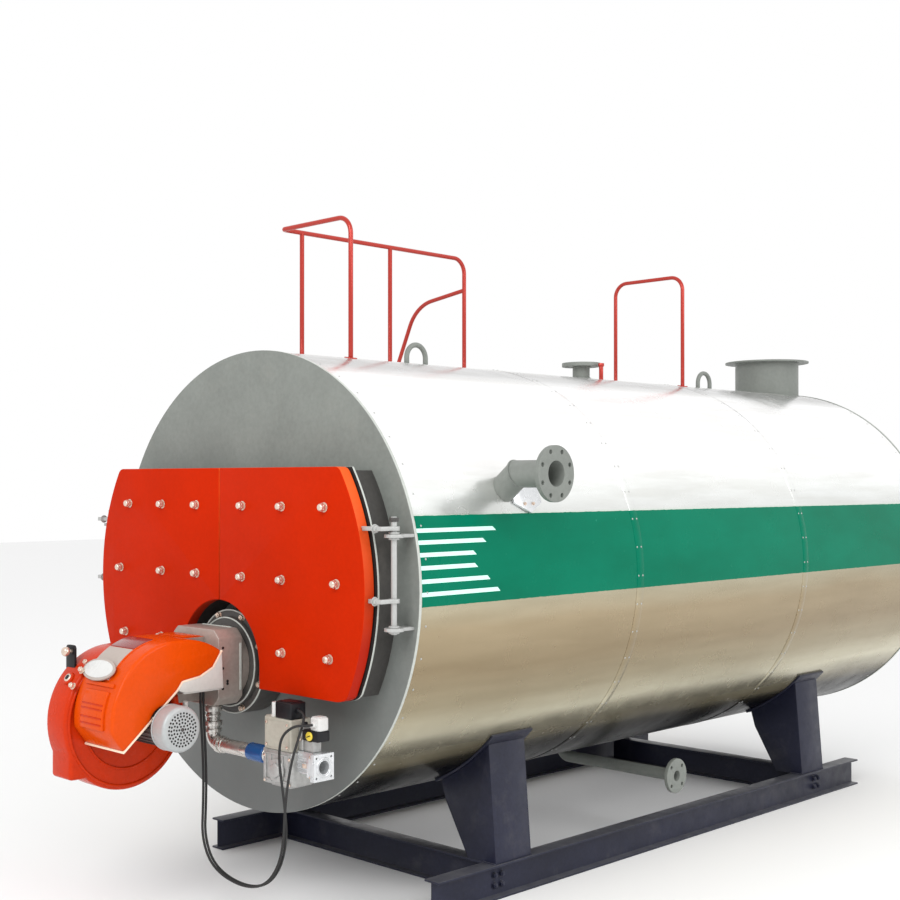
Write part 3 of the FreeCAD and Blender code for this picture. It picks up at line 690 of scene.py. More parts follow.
@dataclass(frozen=True)
class SheetFinish:
    """The casing's thin polished sheet, with its painted band and front flashes, and its tone by angle
    painted as reflection and shade.

    Attributes:
        name: the material's name.
        slot: the record's slot; not used.
        band: the lowest and highest angle of the painted band, in degrees above level.
        flash_angles: the angle of each pale flash at the front.
        flash_ends: how far behind the front plate each flash ends, in metres.
        flash_height: a flash's height, in degrees.
        reflection_and_shade_tones: the sheet's tone by angle, as (degrees above level, red, green, blue):
            painted reflection, white above and tan below, and painted shade near black underneath.
    """

    name: str = "polished_sheet"
    slot: str = "cladding"
    band: tuple[float, float] = (-3.2, 17.3)
    flash_angles: tuple[float, ...] = (13.9, 11.2, 8.4, 5.5, 2.5, -0.4)
    flash_ends: tuple[float, ...] = (0.452, 0.384, 0.320, 0.322, 0.390, 0.448)
    flash_height: float = 0.95
    reflection_and_shade_tones: tuple[tuple[float, int, int, int], ...] = (
        (-90, 5, 5, 5), (-55, 7, 7, 7), (-50, 44, 41, 33), (-45, 124, 117, 97), (-37, 208, 202, 178),
        (-29, 166, 155, 129), (-20, 152, 136, 109), (-10, 166, 150, 122), (-4, 180, 172, 148),
        (18, 226, 228, 226), (25, 244, 246, 244), (31, 255, 255, 255), (63, 255, 255, 255), (69, 206, 206,
                                                                                             206),
        (75, 200, 200, 200), (80, 224, 224, 223), (90, 236, 236, 235))

    def mask(self, graph: Graph, source: object, low: object, high: object) -> bpy.types.NodeSocket:
        """1 where a value lies between two others, else 0.

        Args:
            graph: the material's graph.
            source: the value.
            low: the lower bound.
            high: the upper bound.

        Returns:
            The mask.
        """
        return graph.maths("MULTIPLY", graph.maths("GREATER_THAN", source, low),
                           graph.maths("LESS_THAN", source, high))

    def material(self, datum: Datum) -> bpy.types.Material:
        """Builds the sheet's material.

        Args:
            datum: where the shell lies.

        Returns:
            The material.
        """
        graph = Graph(self.name)
        x, y, z = graph.split()
        rise = graph.maths("SUBTRACT", z, datum.axis)
        angle = graph.maths("MULTIPLY", graph.maths("ARCTAN2", rise, graph.maths("ABSOLUTE", x)),
                            180 / math.pi)
        behind = graph.maths("SUBTRACT", y, datum.front)
        wave = graph.maths("MULTIPLY", graph.maths("SUBTRACT", graph.noise(1.3, 3.0, (1, 0.5, 1)), 0.5), 9.0)
        soft = graph.span(graph.maths("ADD", angle, wave), -90, 90)
        # The tone by angle is painted reflection, white above and tan below, with painted shade near black
        # under the shell.
        stops = [((degrees + 90) / 180, tone(r, g, b)) for degrees, r, g, b in self.reflection_and_shade_tones]
        sheet = graph.ramp(soft, stops)
        streak = graph.ramp(graph.noise(3.0, 5.0, (6.0, 0.6, 6.0)),
                            [(0.35, (0.86, 0.85, 0.83)), (0.65, (1, 1, 1))])
        sheet = graph.blend(0.7, sheet, streak, "MULTIPLY")
        low, high = self.band
        ragged = graph.maths("MULTIPLY", graph.maths("SUBTRACT", graph.noise(40.0, 2.0), 0.5), 0.25)
        edge = graph.maths("ADD", angle, ragged)
        band = self.mask(graph, edge, low, high)
        green = graph.ramp(graph.noise(4.0, 5.0, (1, 0.4, 1)),
                           [(0.3, tone(0, 102, 76)), (0.7, tone(0, 115, 88))])
        colour = graph.blend(band, sheet, green)
        border = self.mask(graph, edge, high, high + 0.45)
        colour = graph.blend(border, colour, tone(214, 222, 214))
        chips = graph.maths("MULTIPLY", graph.maths("GREATER_THAN", graph.noise(55.0, 2.0), 0.77), band)
        colour = graph.blend(chips, colour, tone(60, 150, 125))
        flashes: object = 0.0
        for middle, end in zip(self.flash_angles, self.flash_ends):
            across = self.mask(graph, angle, middle - self.flash_height / 2, middle + self.flash_height / 2)
            slant = graph.maths("MULTIPLY", graph.maths("SUBTRACT", angle, middle), 0.018)
            along = graph.maths("LESS_THAN", graph.maths("ADD", behind, slant), end)
            flashes = graph.maths("MAXIMUM", flashes, graph.maths("MULTIPLY", across, along))
        right_side = graph.maths("MULTIPLY", flashes, graph.maths("GREATER_THAN", x, 0.0))
        colour = graph.blend(right_side, colour, tone(205, 250, 238))
        graph.wire(colour, graph.shader.inputs["Base Color"])
        paint = graph.maths("MAXIMUM", band, right_side)
        bare = graph.maths("SUBTRACT", 1.0, paint)
        # Below about -50 degrees the metal fades out, so the near-black tone shows there as painted shade.
        lit = graph.span(angle, -51.0, -42.0, 0.0, 0.78)
        graph.wire(graph.maths("MULTIPLY", bare, lit), graph.shader.inputs["Metallic"])
        graph.wire(0.06, graph.shader.inputs["Specular IOR Level"])
        graph.wire(graph.span(graph.noise(9.0, 5.0), 0.3, 0.7, 0.18, 0.30), graph.shader.inputs["Roughness"])
        graph.bump(graph.noise(2.0, 1.0, (1, 0.7, 1)), 0.30, 0.012)
        graph.bump(graph.noise(220.0, 2.0, (1, 0.08, 1)), 0.06, 0.0002)
        return graph.material

    def dress(self, piece: bpy.types.Object, datum: Datum, *nodes: str) -> bpy.types.Object:
        """Puts the sheet on a piece of the casing.

        Args:
            piece: the piece.
            datum: where the shell lies.
            nodes: the CAD nodes it stands for.

        Returns:
            The piece.
        """
        found = bpy.data.materials.get(self.name)
        piece.data.materials.clear()
        piece.data.materials.append(found or self.material(datum))
        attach(piece, BODY)
        if nodes:
            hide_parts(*nodes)
        log.info("%s: %d faces, %s", piece.name, len(piece.data.polygons), self.name)
        return piece


SHEET = SheetFinish()
DOOR_TONE = tone(184, 36, 2)
SKID_BLUE = Finish("skid_blue", tone(34, 36, 54), Sheen.SATIN, "skid", mottle=0.25, relief=0.0003, dirt=0.08,
                   gleam=0.3, paler_upward=0.7)
PLATE_GREY = Finish("plate_grey", tone(124, 128, 123), Sheen.SATIN, "grey_paint", mottle=0.10, grain=0.006,
                    relief=0.0003, dirt=0.10, gleam=0.3)
# The front plate's grey, turning darker lower down as painted shade.
FRONT_GREY = Finish("front_grey", tone(124, 128, 123), Sheen.SATIN, "grey_paint", mottle=0.12, grain=0.006,
                    relief=0.0003, dirt=0.10, gleam=0.25, painted_shade_tone=tone(104, 107, 106), painted_shade_levels=(0.4, 1.5))
# A deep grey for the collar, flange and hinge end nuts; on the smoke box it is painted shade, and its rings
# on the side nozzle's flange are painted shadow lines.
DEEP_GREY_AND_SHADE = Finish("deep_grey_and_painted_shade", tone(74, 72, 70), Sheen.SATIN, "grey_paint", mottle=0.2, dirt=0.12, gleam=0.3)
# A pale grey: the burner neck's band, and painted highlight on the rims of the end plates, smoke box lip,
# furnace collar and burner flange.
PALE_BAND_AND_EDGE_HIGHLIGHT = Finish("pale_band_and_edge_highlight", tone(186, 190, 184), Sheen.GLOSS, "grey_paint", mottle=0.12, dirt=0.12)
HINGE_STEEL = Finish("hinge_steel", tone(176, 177, 175), Sheen.SATIN, "grey_paint", metal=0.3, mottle=0.08,
                     dirt=0.05)
DOOR_RED = Finish("door_red", DOOR_TONE, Sheen.SATIN, "door_paint", mottle=0.07, grain=0.012,
                  relief=0.0002, dirt=0.0, gleam=0.03)
# The doors' side faces: the door paint made brighter orange as a painted highlight, turning darker red lower
# down as painted shade.
DOOR_SIDE_LIGHT_AND_SHADE = Finish("door_side_painted_light_and_shade", tone(226, 88, 34), Sheen.SATIN, "door_paint", mottle=0.08, grain=0.012,
                   dirt=0.0, gleam=0.1, painted_shade_tone=tone(168, 30, 6))
BURNER_ORANGE = Finish("burner_orange", tone(210, 72, 5), Sheen.GLOSS, "burner_red", mottle=0.07,
                       coat=0.06, dirt=0.0, gleam=0.1)
BURNER_RED = Finish("burner_deep", tone(192, 48, 6), Sheen.GLOSS, "burner_red", mottle=0.10,
                    coat=0.06, dirt=0.0, gleam=0.1)
CREAM_TRIM = Finish("cream_trim", tone(236, 214, 190), Sheen.GLOSS, "zinc", mottle=0.05, dirt=0.03)
NUT_STEEL = Finish("nut_steel", tone(226, 206, 190), Sheen.GLOSS, "steel", metal=0.75, mottle=0.1, dirt=0.05)
PIPE_STEEL = Finish("pipe_steel", tone(208, 205, 200), Sheen.GLOSS, "steel", metal=0.85, mottle=0.15,
                    dirt=0.03)
HEAD_GREY = Finish("head_grey", tone(168, 158, 150), Sheen.SATIN, "burner_grey", metal=0.35, mottle=0.15)
ZINC_WHITE = Finish("zinc_white", tone(198, 197, 192), Sheen.SATIN, "zinc", mottle=0.08)
CASE_GREY = Finish("case_grey", tone(168, 164, 152), Sheen.SATIN, "zinc", mottle=0.10, dirt=0.08)
CAST_ALLOY = Finish("cast_alloy", tone(178, 178, 176), Sheen.SATIN, "aluminium", metal=0.55, mottle=0.22,
                    grain=0.002, relief=0.0003)
BRIGHT_ALLOY = Finish("bright_alloy", tone(218, 220, 222), Sheen.GLOSS, "aluminium", metal=0.6, mottle=0.12,
                      grain=0.002, relief=0.0002, dirt=0.03)
MOTOR_PALE = Finish("motor_pale", tone(176, 180, 180), Sheen.SATIN, "motor_grey", metal=0.2, mottle=0.1)
MOTOR_DARK = Finish("motor_dark", tone(78, 74, 72), Sheen.SATIN, "motor_grey", metal=0.3, mottle=0.2)
UNION_BLUE = Finish("union_blue", tone(22, 58, 136), Sheen.GLOSS, "union_blue", mottle=0.25, coat=0.2,
                    gleam=0.3)
BLACK_CASE = Finish("black_case", tone(20, 20, 24), Sheen.SATIN, "black_plastic", mottle=0.2, dirt=0.02,
                    gleam=0.3)
PALE_CASE = Finish("pale_case", tone(208, 208, 206), Sheen.GLOSS, "pale_plastic", mottle=0.06, dirt=0.04)
KNOB_YELLOW = Finish("knob_yellow", tone(226, 200, 70), Sheen.GLOSS, "pale_plastic", mottle=0.06, dirt=0.02)
MIMIC_GREY = Finish("mimic_grey", tone(172, 160, 152), Sheen.SATIN, "pale_plastic", mottle=0.05, dirt=0.02)
MIMIC_DARK = Finish("mimic_dark", tone(128, 26, 24), Sheen.GLOSS, "burner_red", mottle=0.10, dirt=0.02,
                    coat=0.4)
RAIL_RED = Finish("rail_red", tone(168, 34, 26), Sheen.GLOSS, "rail_red", mottle=0.18, coat=0.15, dirt=0.03,
                  gleam=0.3)
CABLE_BLACK = Finish("cable_black", tone(20, 20, 22), Sheen.SATIN, "cable_black", mottle=0.2, dirt=0.02,
                     gleam=0.3)
# Near black: real dark screws and tube soot, and painted shade on the smoke box lip's front and in the tube
# ends' and motor cowl's holes.
SOOT_AND_SHADE = Finish("soot_and_painted_shade", tone(20, 18, 17), Sheen.MATT, "grey_paint", mottle=0.3, dirt=0.03)


# ---------------------------------------------------------------- skid and shell


def nut(radius: float, height: float) -> bpy.types.Object:
    """A hexagon nut on its washer, modelled at the origin and standing along Z.

    Args:
        radius: the nut's radius over its corners.
        height: the nut's height.

    Returns:
        The nut.
    """
    washer = disc("washer", radius * 1.22, height * 0.18, Matrix(), sides=24, bevel=height * 0.04)
    body = disc("nut", radius, height, Matrix.Translation((0, 0, height * 0.18)), sides=6,
                bevel=height * 0.12)
    stud = disc("stud", radius * 0.52, height * 1.5, Matrix(), sides=16, bevel=height * 0.1)
    return join("nut", [washer, body, stud])


def dome_nut(radius: float, height: float) -> bpy.types.Object:
    """A domed nut on a washer, modelled at the origin and standing along Z.

    Args:
        radius: the nut's radius over its corners.
        height: its whole height.

    Returns:
        The nut.
    """
    washer = disc("washer", radius * 1.12, height * 0.08, Matrix(), sides=28, bevel=height * 0.02)
    collar = disc("collar", radius, height * 0.45, Matrix.Translation((0, 0, height * 0.1)), sides=6,
                  bevel=height * 0.06)
    cap = disc("cap", radius * 0.86, height * 0.95, Matrix(), sides=28, bevel=radius * 0.45)
    return join("dome_nut", [washer, collar, cap])


@dataclass
class Skid:
    """The beams, saddles and wear plates that carry the shell.

    Attributes:
        datum: where the shell lies; not used.
        edge: how far rolled and cut edges are rounded.
        bolt: the radius of the bolts that hold the cross beams.
        bolt_height: their height.
        weld: the radius of the weld beads at the saddles' feet.
    """

    datum: Datum
    edge: float = 0.003
    bolt: float = 0.013
    bolt_height: float = 0.012
    weld: float = 0.005

    def build(self) -> None:
        """Builds and dresses the skid."""
        for side in ("right", "left"):
            for node in (f"skid_beam_{side}", f"saddle_front_{side}", f"saddle_rear_{side}"):
                SKID_BLUE.dress(refine(node, node + "_skin", self.edge), BODY, node)
        for node in ("cross_beam_front", "cross_beam_rear", "saddle_pads"):
            SKID_BLUE.dress(refine(node, node + "_skin", self.edge / 2), BODY, node)
        self.welds()
        self.end_bolts()

    def welds(self) -> None:
        """Lays a bead round each saddle's foot."""
        beads = []
        for node in ("saddle_front_right", "saddle_front_left", "saddle_rear_right", "saddle_rear_left"):
            low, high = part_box(node)
            beam_low, beam_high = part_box("skid_beam_right" if "right" in node else "skid_beam_left")
            left, right = max(low.x, beam_low.x), min(high.x, beam_high.x)
            for y in (low.y, high.y):
                bead = round_bar("bead", self.weld, right - left, ((left + right) / 2, y, low.z), Axis.X, 10)
                beads.append(soften(bead, self.weld / 2))
        SKID_BLUE.dress(join("saddle_welds", beads))

    def end_bolts(self) -> None:
        """Bolts the cross beams to the long beams' webs."""
        places = []
        for end in ("front", "rear"):
            low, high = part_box(f"cross_beam_{end}")
            for side in (1, -1):
                beam_low, beam_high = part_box("skid_beam_right" if side > 0 else "skid_beam_left")
                web = (beam_low.x + beam_high.x) / 2 + side * self.edge
                for y in (low.y + self.bolt * 1.4, high.y - self.bolt * 1.4):
                    for share in (0.35, 0.65):
                        z = beam_low.z + share * (beam_high.z - beam_low.z)
                        places.append(facing((web, y, z), (side, 0, 0)))
        SKID_BLUE.dress(repeat("skid_bolts", nut(self.bolt, self.bolt_height), places))


@dataclass
class Shell:
    """The end plates and the polished casing, with its lap joints and rivets.

    Attributes:
        datum: where the shell lies.
        laps: how far behind the front plate each lap joint lies.
        lap_width: a joint strip's width.
        lap_rise: how far a strip stands over the casing.
        rivet: a rivet's radius.
        rivet_step: the angle from one rivet to the next, in degrees.
        cover_bolt: the radius of the rear cover's bolts.
        cover_count: how many there are.
    """

    datum: Datum
    laps: tuple[float, float] = (1.39, 2.83)
    lap_width: float = 0.05
    lap_rise: float = 0.0012
    rivet: float = 0.0045
    rivet_step: float = 7.5
    cover_bolt: float = 0.014
    cover_count: int = 16

    def build(self) -> None:
        """Builds and dresses the shell."""
        for node in ("front_plate", "rear_plate"):
            paint = FRONT_GREY if node == "front_plate" else PLATE_GREY
            plate = paint.dress(refine(node, node + "_skin", 0.003, 3), BODY, node)
            # The plates' rims are painted pale grey as a painted highlight.
            PALE_BAND_AND_EDGE_HIGHLIGHT.edge(plate, lambda centre, normal: abs(normal.y) < 0.7)
        SHEET.dress(refine("shell_casing", "shell_casing_skin", 0.0004, 1), self.datum, "shell_casing")
        self.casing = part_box("shell_casing")[1].x
        strips = [self.strip(behind) for behind in self.laps]
        SHEET.dress(join("casing_laps", strips), self.datum)
        self.rivets()
        self.rear_cover()

    def strip(self, behind: float) -> bpy.types.Object:
        """One joint strip round the casing.

        Args:
            behind: how far it lies behind the front plate.

        Returns:
            The strip.
        """
        band = round_bar("lap", self.casing + self.lap_rise, self.lap_width, self.datum.at(0, behind, 0),
                         Axis.Y, 240)
        return soften(band, self.lap_rise / 2, 2, 40.0)

    def rivets(self) -> None:
        """Sets two rows of rivets on each joint strip and one by each end plate."""
        bpy.ops.mesh.primitive_uv_sphere_add(segments=10, ring_count=6, radius=self.rivet)
        head = seat(bpy.context.object, "rivet")
        head.data.transform(Matrix.Diagonal((1, 1, 0.45, 1)))
        pick(head)
        bpy.ops.object.shade_smooth()
        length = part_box("rear_plate")[0].y - self.datum.front
        rows = [(0.045, self.casing), (length - 0.045, self.casing)]
        for behind in self.laps:
            rows += [(behind + side * self.lap_width * 0.3, self.casing + self.lap_rise) for side in (-1, 1)]
        places = []
        for behind, reach in rows:
            for step in range(int(300 / self.rivet_step) + 1):
                turn = math.radians(-60 + step * self.rivet_step)
                out = Vector((math.cos(turn), 0, math.sin(turn)))
                places.append(facing(self.datum.at(reach * out.x, behind, reach * out.z), out))
        HINGE_STEEL.dress(repeat("casing_rivets", head, places))

    def rear_cover(self) -> None:
        """Dresses the round cover at the rear and bolts it on."""
        PLATE_GREY.dress(refine("rear_cover", "rear_cover_skin", 0.008, 3), BODY, "rear_cover")
        low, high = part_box("rear_cover")
        middle, reach = (low + high) / 2, (high.x - low.x) / 2 + 2.2 * self.cover_bolt
        places = []
        for step in range(self.cover_count):
            turn = 2 * math.pi * step / self.cover_count
            spot = (middle.x + reach * math.cos(turn), low.y, middle.z + reach * math.sin(turn))
            places.append(facing(spot, (0, 1, 0)))
        NUT_STEEL.dress(repeat("rear_cover_nuts", nut(self.cover_bolt, self.cover_bolt), places))
        rim = ring("rear_cover_weld", (high.x - low.x) / 2, 0.006,
                   facing((middle.x, low.y, middle.z), (0, 1, 0)), 72)
        PLATE_GREY.dress(rim)


# ---------------------------------------------------------------- smoke box and doors


@dataclass
class SmokeBox:
    """The smoke box on the front plate and the tube ends inside it.

    Attributes:
        datum: where the shell lies.
        corner: the rounding of the lip's lower corners.
        wall: the outer radius of its wall.
        tube: a tube end's radius.
        pitch: the distance between tube ends.
        field: the half width, the lowest and the highest of the tubes' field.
        reach: the field's outer radius.
        furnace: how far the tubes stay from the furnace's axis.
        furnace_drop: how far the furnace's axis lies below the shell's.
    """

    datum: Datum
    corner: float = 0.055
    wall: float = 0.838
    tube: float = 0.0255
    pitch: float = 0.082
    field: tuple[float, float, float] = (0.76, -0.34, 0.40)
    reach: float = 0.77
    furnace: float = 0.335
    furnace_drop: float = 0.325

    def build(self) -> None:
        """Builds and dresses the smoke box."""
        skin = refine("smoke_box", "smoke_box_skin", 0.0)
        low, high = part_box("smoke_box")
        bottom = low.z
        skin = round_edges(skin, lambda a, b: self.low_corner(a, b, bottom), self.corner)
        soften(skin, 0.0015, 2, 50.0)
        # The smoke box wall is the plate's grey darkened as painted shade.
        DEEP_GREY_AND_SHADE.dress(skin, BODY, "smoke_box")
        # The lip's front faces are painted near black as painted shade in the gap behind the doors.
        SOOT_AND_SHADE.edge(skin, lambda centre, normal: normal.y < -0.7 and centre.y < low.y + 0.012)
        # The lip's outer rim faces are painted pale as a painted highlight.
        rim = (lambda centre, normal: abs(normal.y) < 0.7 and centre.y < low.y + 0.012
               and (math.hypot(centre.x, centre.z - self.datum.axis) > self.wall
                    or centre.z < bottom + 0.01 or centre.z > high.z - 0.01))
        PALE_BAND_AND_EDGE_HIGHLIGHT.edge(skin, rim)
        self.tube_ends()

    def low_corner(self, first: Vector, last: Vector, bottom: float) -> bool:
        """Whether an edge is one of the lip's two lower outer corners.

        Args:
            first: one end.
            last: the other end.
            bottom: the height of the lip's lower side.

        Returns:
            True at those corners.
        """
        level = abs(first.z - bottom) < 0.004 and abs(last.z - bottom) < 0.004
        outer = abs(first.x - last.x) < 0.003 and abs(first.x) > 0.70
        return level and outer and abs(first.y - last.y) > 0.004

    def tube_ends(self) -> None:
        """Sets the rows of smoke tube ends on the front plate."""
        places = []
        half, lowest, highest = self.field
        rows = int((highest - lowest) / (self.pitch * 0.87)) + 1
        for row in range(rows):
            rise = lowest + row * self.pitch * 0.87
            count = int(2 * half / self.pitch) + 1
            for step in range(count):
                x = -half + (step + 0.5 * (row % 2)) * self.pitch
                clear = math.hypot(x, rise + self.furnace_drop) > self.furnace and (
                    abs(x) > self.furnace or rise > -self.furnace_drop)
                if clear and math.hypot(x, rise) < self.reach and abs(x) < half:
                    places.append(facing(self.datum.at(x, 0, rise), (0, -1, 0)))
        rim = disc("rim", self.tube, 0.006, Matrix(), sides=20, bevel=0.0015)
        PIPE_STEEL.dress(repeat("tube_ends", rim, places))
        # Black discs in the tube ends: painted shade of the open tubes, with their soot.
        hole = disc("hole", self.tube * 0.8, 0.0066, Matrix(), sides=20, bevel=0.0003)
        SOOT_AND_SHADE.dress(repeat("tube_mouth_shade", hole, places))


@dataclass
class Doors:
    """The two smoke box doors with their domed nuts and their hinges.

    Attributes:
        datum: where the shell lies.
        corner: the rounding of the doors' lower outer corners.
        face_edge: the rounding round the doors' faces.
        nut_radius: a domed nut's radius over its corners.
        nut_height: its height.
        rows: each row of nuts, as its rise over the axis and the distances from the seam.
        washer: the radius of the washers on the hinge rods.
        washer_height: their height.
    """

    datum: Datum
    corner: float = 0.055
    face_edge: float = 0.005
    nut_radius: float = 0.0165
    nut_height: float = 0.030
    rows: tuple[tuple[float, tuple[float, ...]], ...] = (
        (0.312, (0.151, 0.391, 0.633)), (0.030, (0.149, 0.391, 0.700)), (-0.250, (0.395, 0.663)))
    washer: float = 0.020
    washer_height: float = 0.008

    def build(self) -> None:
        """Builds and dresses both doors and the hinges."""
        for side, body in ((1, RIGHT_DOOR), (-1, LEFT_DOOR)):
            word = "right" if side > 0 else "left"
            self.leaf(f"door_{word}", body)
            self.nuts(f"door_{word}", side, body)
            arms = refine(f"door_arms_{word}", f"door_arms_{word}_skin", 0.003, 3)
            HINGE_STEEL.dress(arms, body, f"door_arms_{word}")
            self.arm_nuts(word, side, body)
        brackets = refine("hinge_brackets", "hinge_brackets_skin", 0.0025, 3)
        HINGE_STEEL.dress(brackets, BODY, "hinge_brackets")
        rods = refine("hinge_rods", "hinge_rods_skin", 0.002, 3)
        HINGE_STEEL.dress(rods, BODY, "hinge_rods")
        self.washers()

    def leaf(self, node: str, body: str) -> None:
        """Dresses one door, with its corners rounded and its side band painted brighter orange as a highlight
        and darker lower down as painted shade.

        Args:
            node: the door's node.
            body: the door's body.
        """
        low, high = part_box(node)
        bottom, top = low.z, high.z

        def outer_corner(first: Vector, last: Vector) -> bool:
            """Whether an edge runs along Y at the door's lower outer corner."""
            level = abs(first.z - bottom) < 0.003 and abs(last.z - bottom) < 0.003
            across = abs(first.x - last.x) < 0.002 and abs(first.y - last.y) > 0.02
            return level and abs(first.x) > 0.6 and across

        def upper_corner(first: Vector, last: Vector) -> bool:
            """Whether an edge runs along Y at the door's upper outer corner."""
            level = abs(first.z - top) < 0.003 and abs(last.z - top) < 0.003
            across = abs(first.x - last.x) < 0.002 and abs(first.y - last.y) > 0.02
            return level and abs(first.x) > 0.6 and across

        skin = refine(node, node + "_skin", 0.0)
        round_edges(skin, outer_corner, self.corner, 8)
        round_edges(skin, upper_corner, self.corner / 3, 5)
        soften(skin, self.face_edge, 3, 50.0)
        DOOR_RED.dress(skin, body, node)
        # The side faces carry the painted highlight and, lower down, the painted shade.
        DOOR_SIDE_LIGHT_AND_SHADE.edge(skin, lambda centre, normal: abs(normal.y) < 0.5)

    def nuts(self, node: str, side: int, body: str) -> None:
        """Sets the domed nuts on one door.

        Args:
            node: the door's node.
            side: 1 on the right, -1 on the left.
            body: the door's body.
        """
        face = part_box(node)[0].y
        places = []
        for rise, distances in self.rows:
            for distance in distances:
                places.append(facing((side * distance, face, self.datum.axis + rise), (0, -1, 0)))
        NUT_STEEL.dress(repeat(f"{node}_nuts", dome_nut(self.nut_radius, self.nut_height), places), body)

    def arm_nuts(self, word: str, side: int, body: str) -> None:
        """Puts a nut on each hinge arm beside the door.

        Args:
            word: which side.
            side: 1 on the right, -1 on the left.
            body: the door's body.
        """
        low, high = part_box(f"door_arms_{word}")
        middles = (low.z + 0.008, high.z - 0.008)
        outer = max(abs(low.x), abs(high.x))
        places = [facing((side * (outer - 0.055), low.y + 0.007, z), (side, 0, 0)) for z in middles]
        nuts = repeat(f"door_arm_nuts_{word}", nut(0.014, 0.012), places)
        HINGE_STEEL.dress(nuts, body)

    def washers(self) -> None:
        """Stacks washers and end nuts on the hinge rods."""
        low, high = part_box("hinge_brackets")
        rod_low, rod_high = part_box("hinge_rods")
        x = rod_high.x - (rod_high.y - rod_low.y) / 2
        y = (rod_low.y + rod_high.y) / 2
        thick = 0.012
        feet = (high.z, high.z - thick - self.washer_height, low.z + thick, low.z - self.washer_height)
        plates, ends = [], []
        for side in (1, -1):
            plates += [Matrix.Translation((side * x, y, foot)) for foot in feet]
            ends += [Matrix.Translation((side * x, y, rod_high.z - 0.018))]
        washer = disc("washer", self.washer, self.washer_height, Matrix(), sides=32, bevel=0.0015)
        HINGE_STEEL.dress(repeat("hinge_washers", washer, plates))
        end_nut = disc("end_nut", self.washer * 0.9, 0.015, Matrix(), sides=6, bevel=0.002)
        DEEP_GREY_AND_SHADE.dress(repeat("hinge_end_nuts", end_nut, ends))


# ---------------------------------------------------------------- burner


def circle_through(first: Vector, second: Vector, third: Vector) -> tuple[Vector, float]:
    """The circle in the YZ plane through three points.

    Args:
        first: a point.
        second: a point.
        third: a point.

    Returns:
        Its centre and radius.
    """
    a, b, c = ((p.y, p.z) for p in (first, second, third))
    double = 2 * (a[0] * (b[1] - c[1]) + b[0] * (c[1] - a[1]) + c[0] * (a[1] - b[1]))
    squares = [p[0] ** 2 + p[1] ** 2 for p in (a, b, c)]
    y = (squares[0] * (b[1] - c[1]) + squares[1] * (c[1] - a[1]) + squares[2] * (a[1] - b[1])) / double
    z = (squares[0] * (c[0] - b[0]) + squares[1] * (a[0] - c[0]) + squares[2] * (b[0] - a[0])) / double
    centre = Vector((first.x, y, z))
    return centre, (first - centre).length


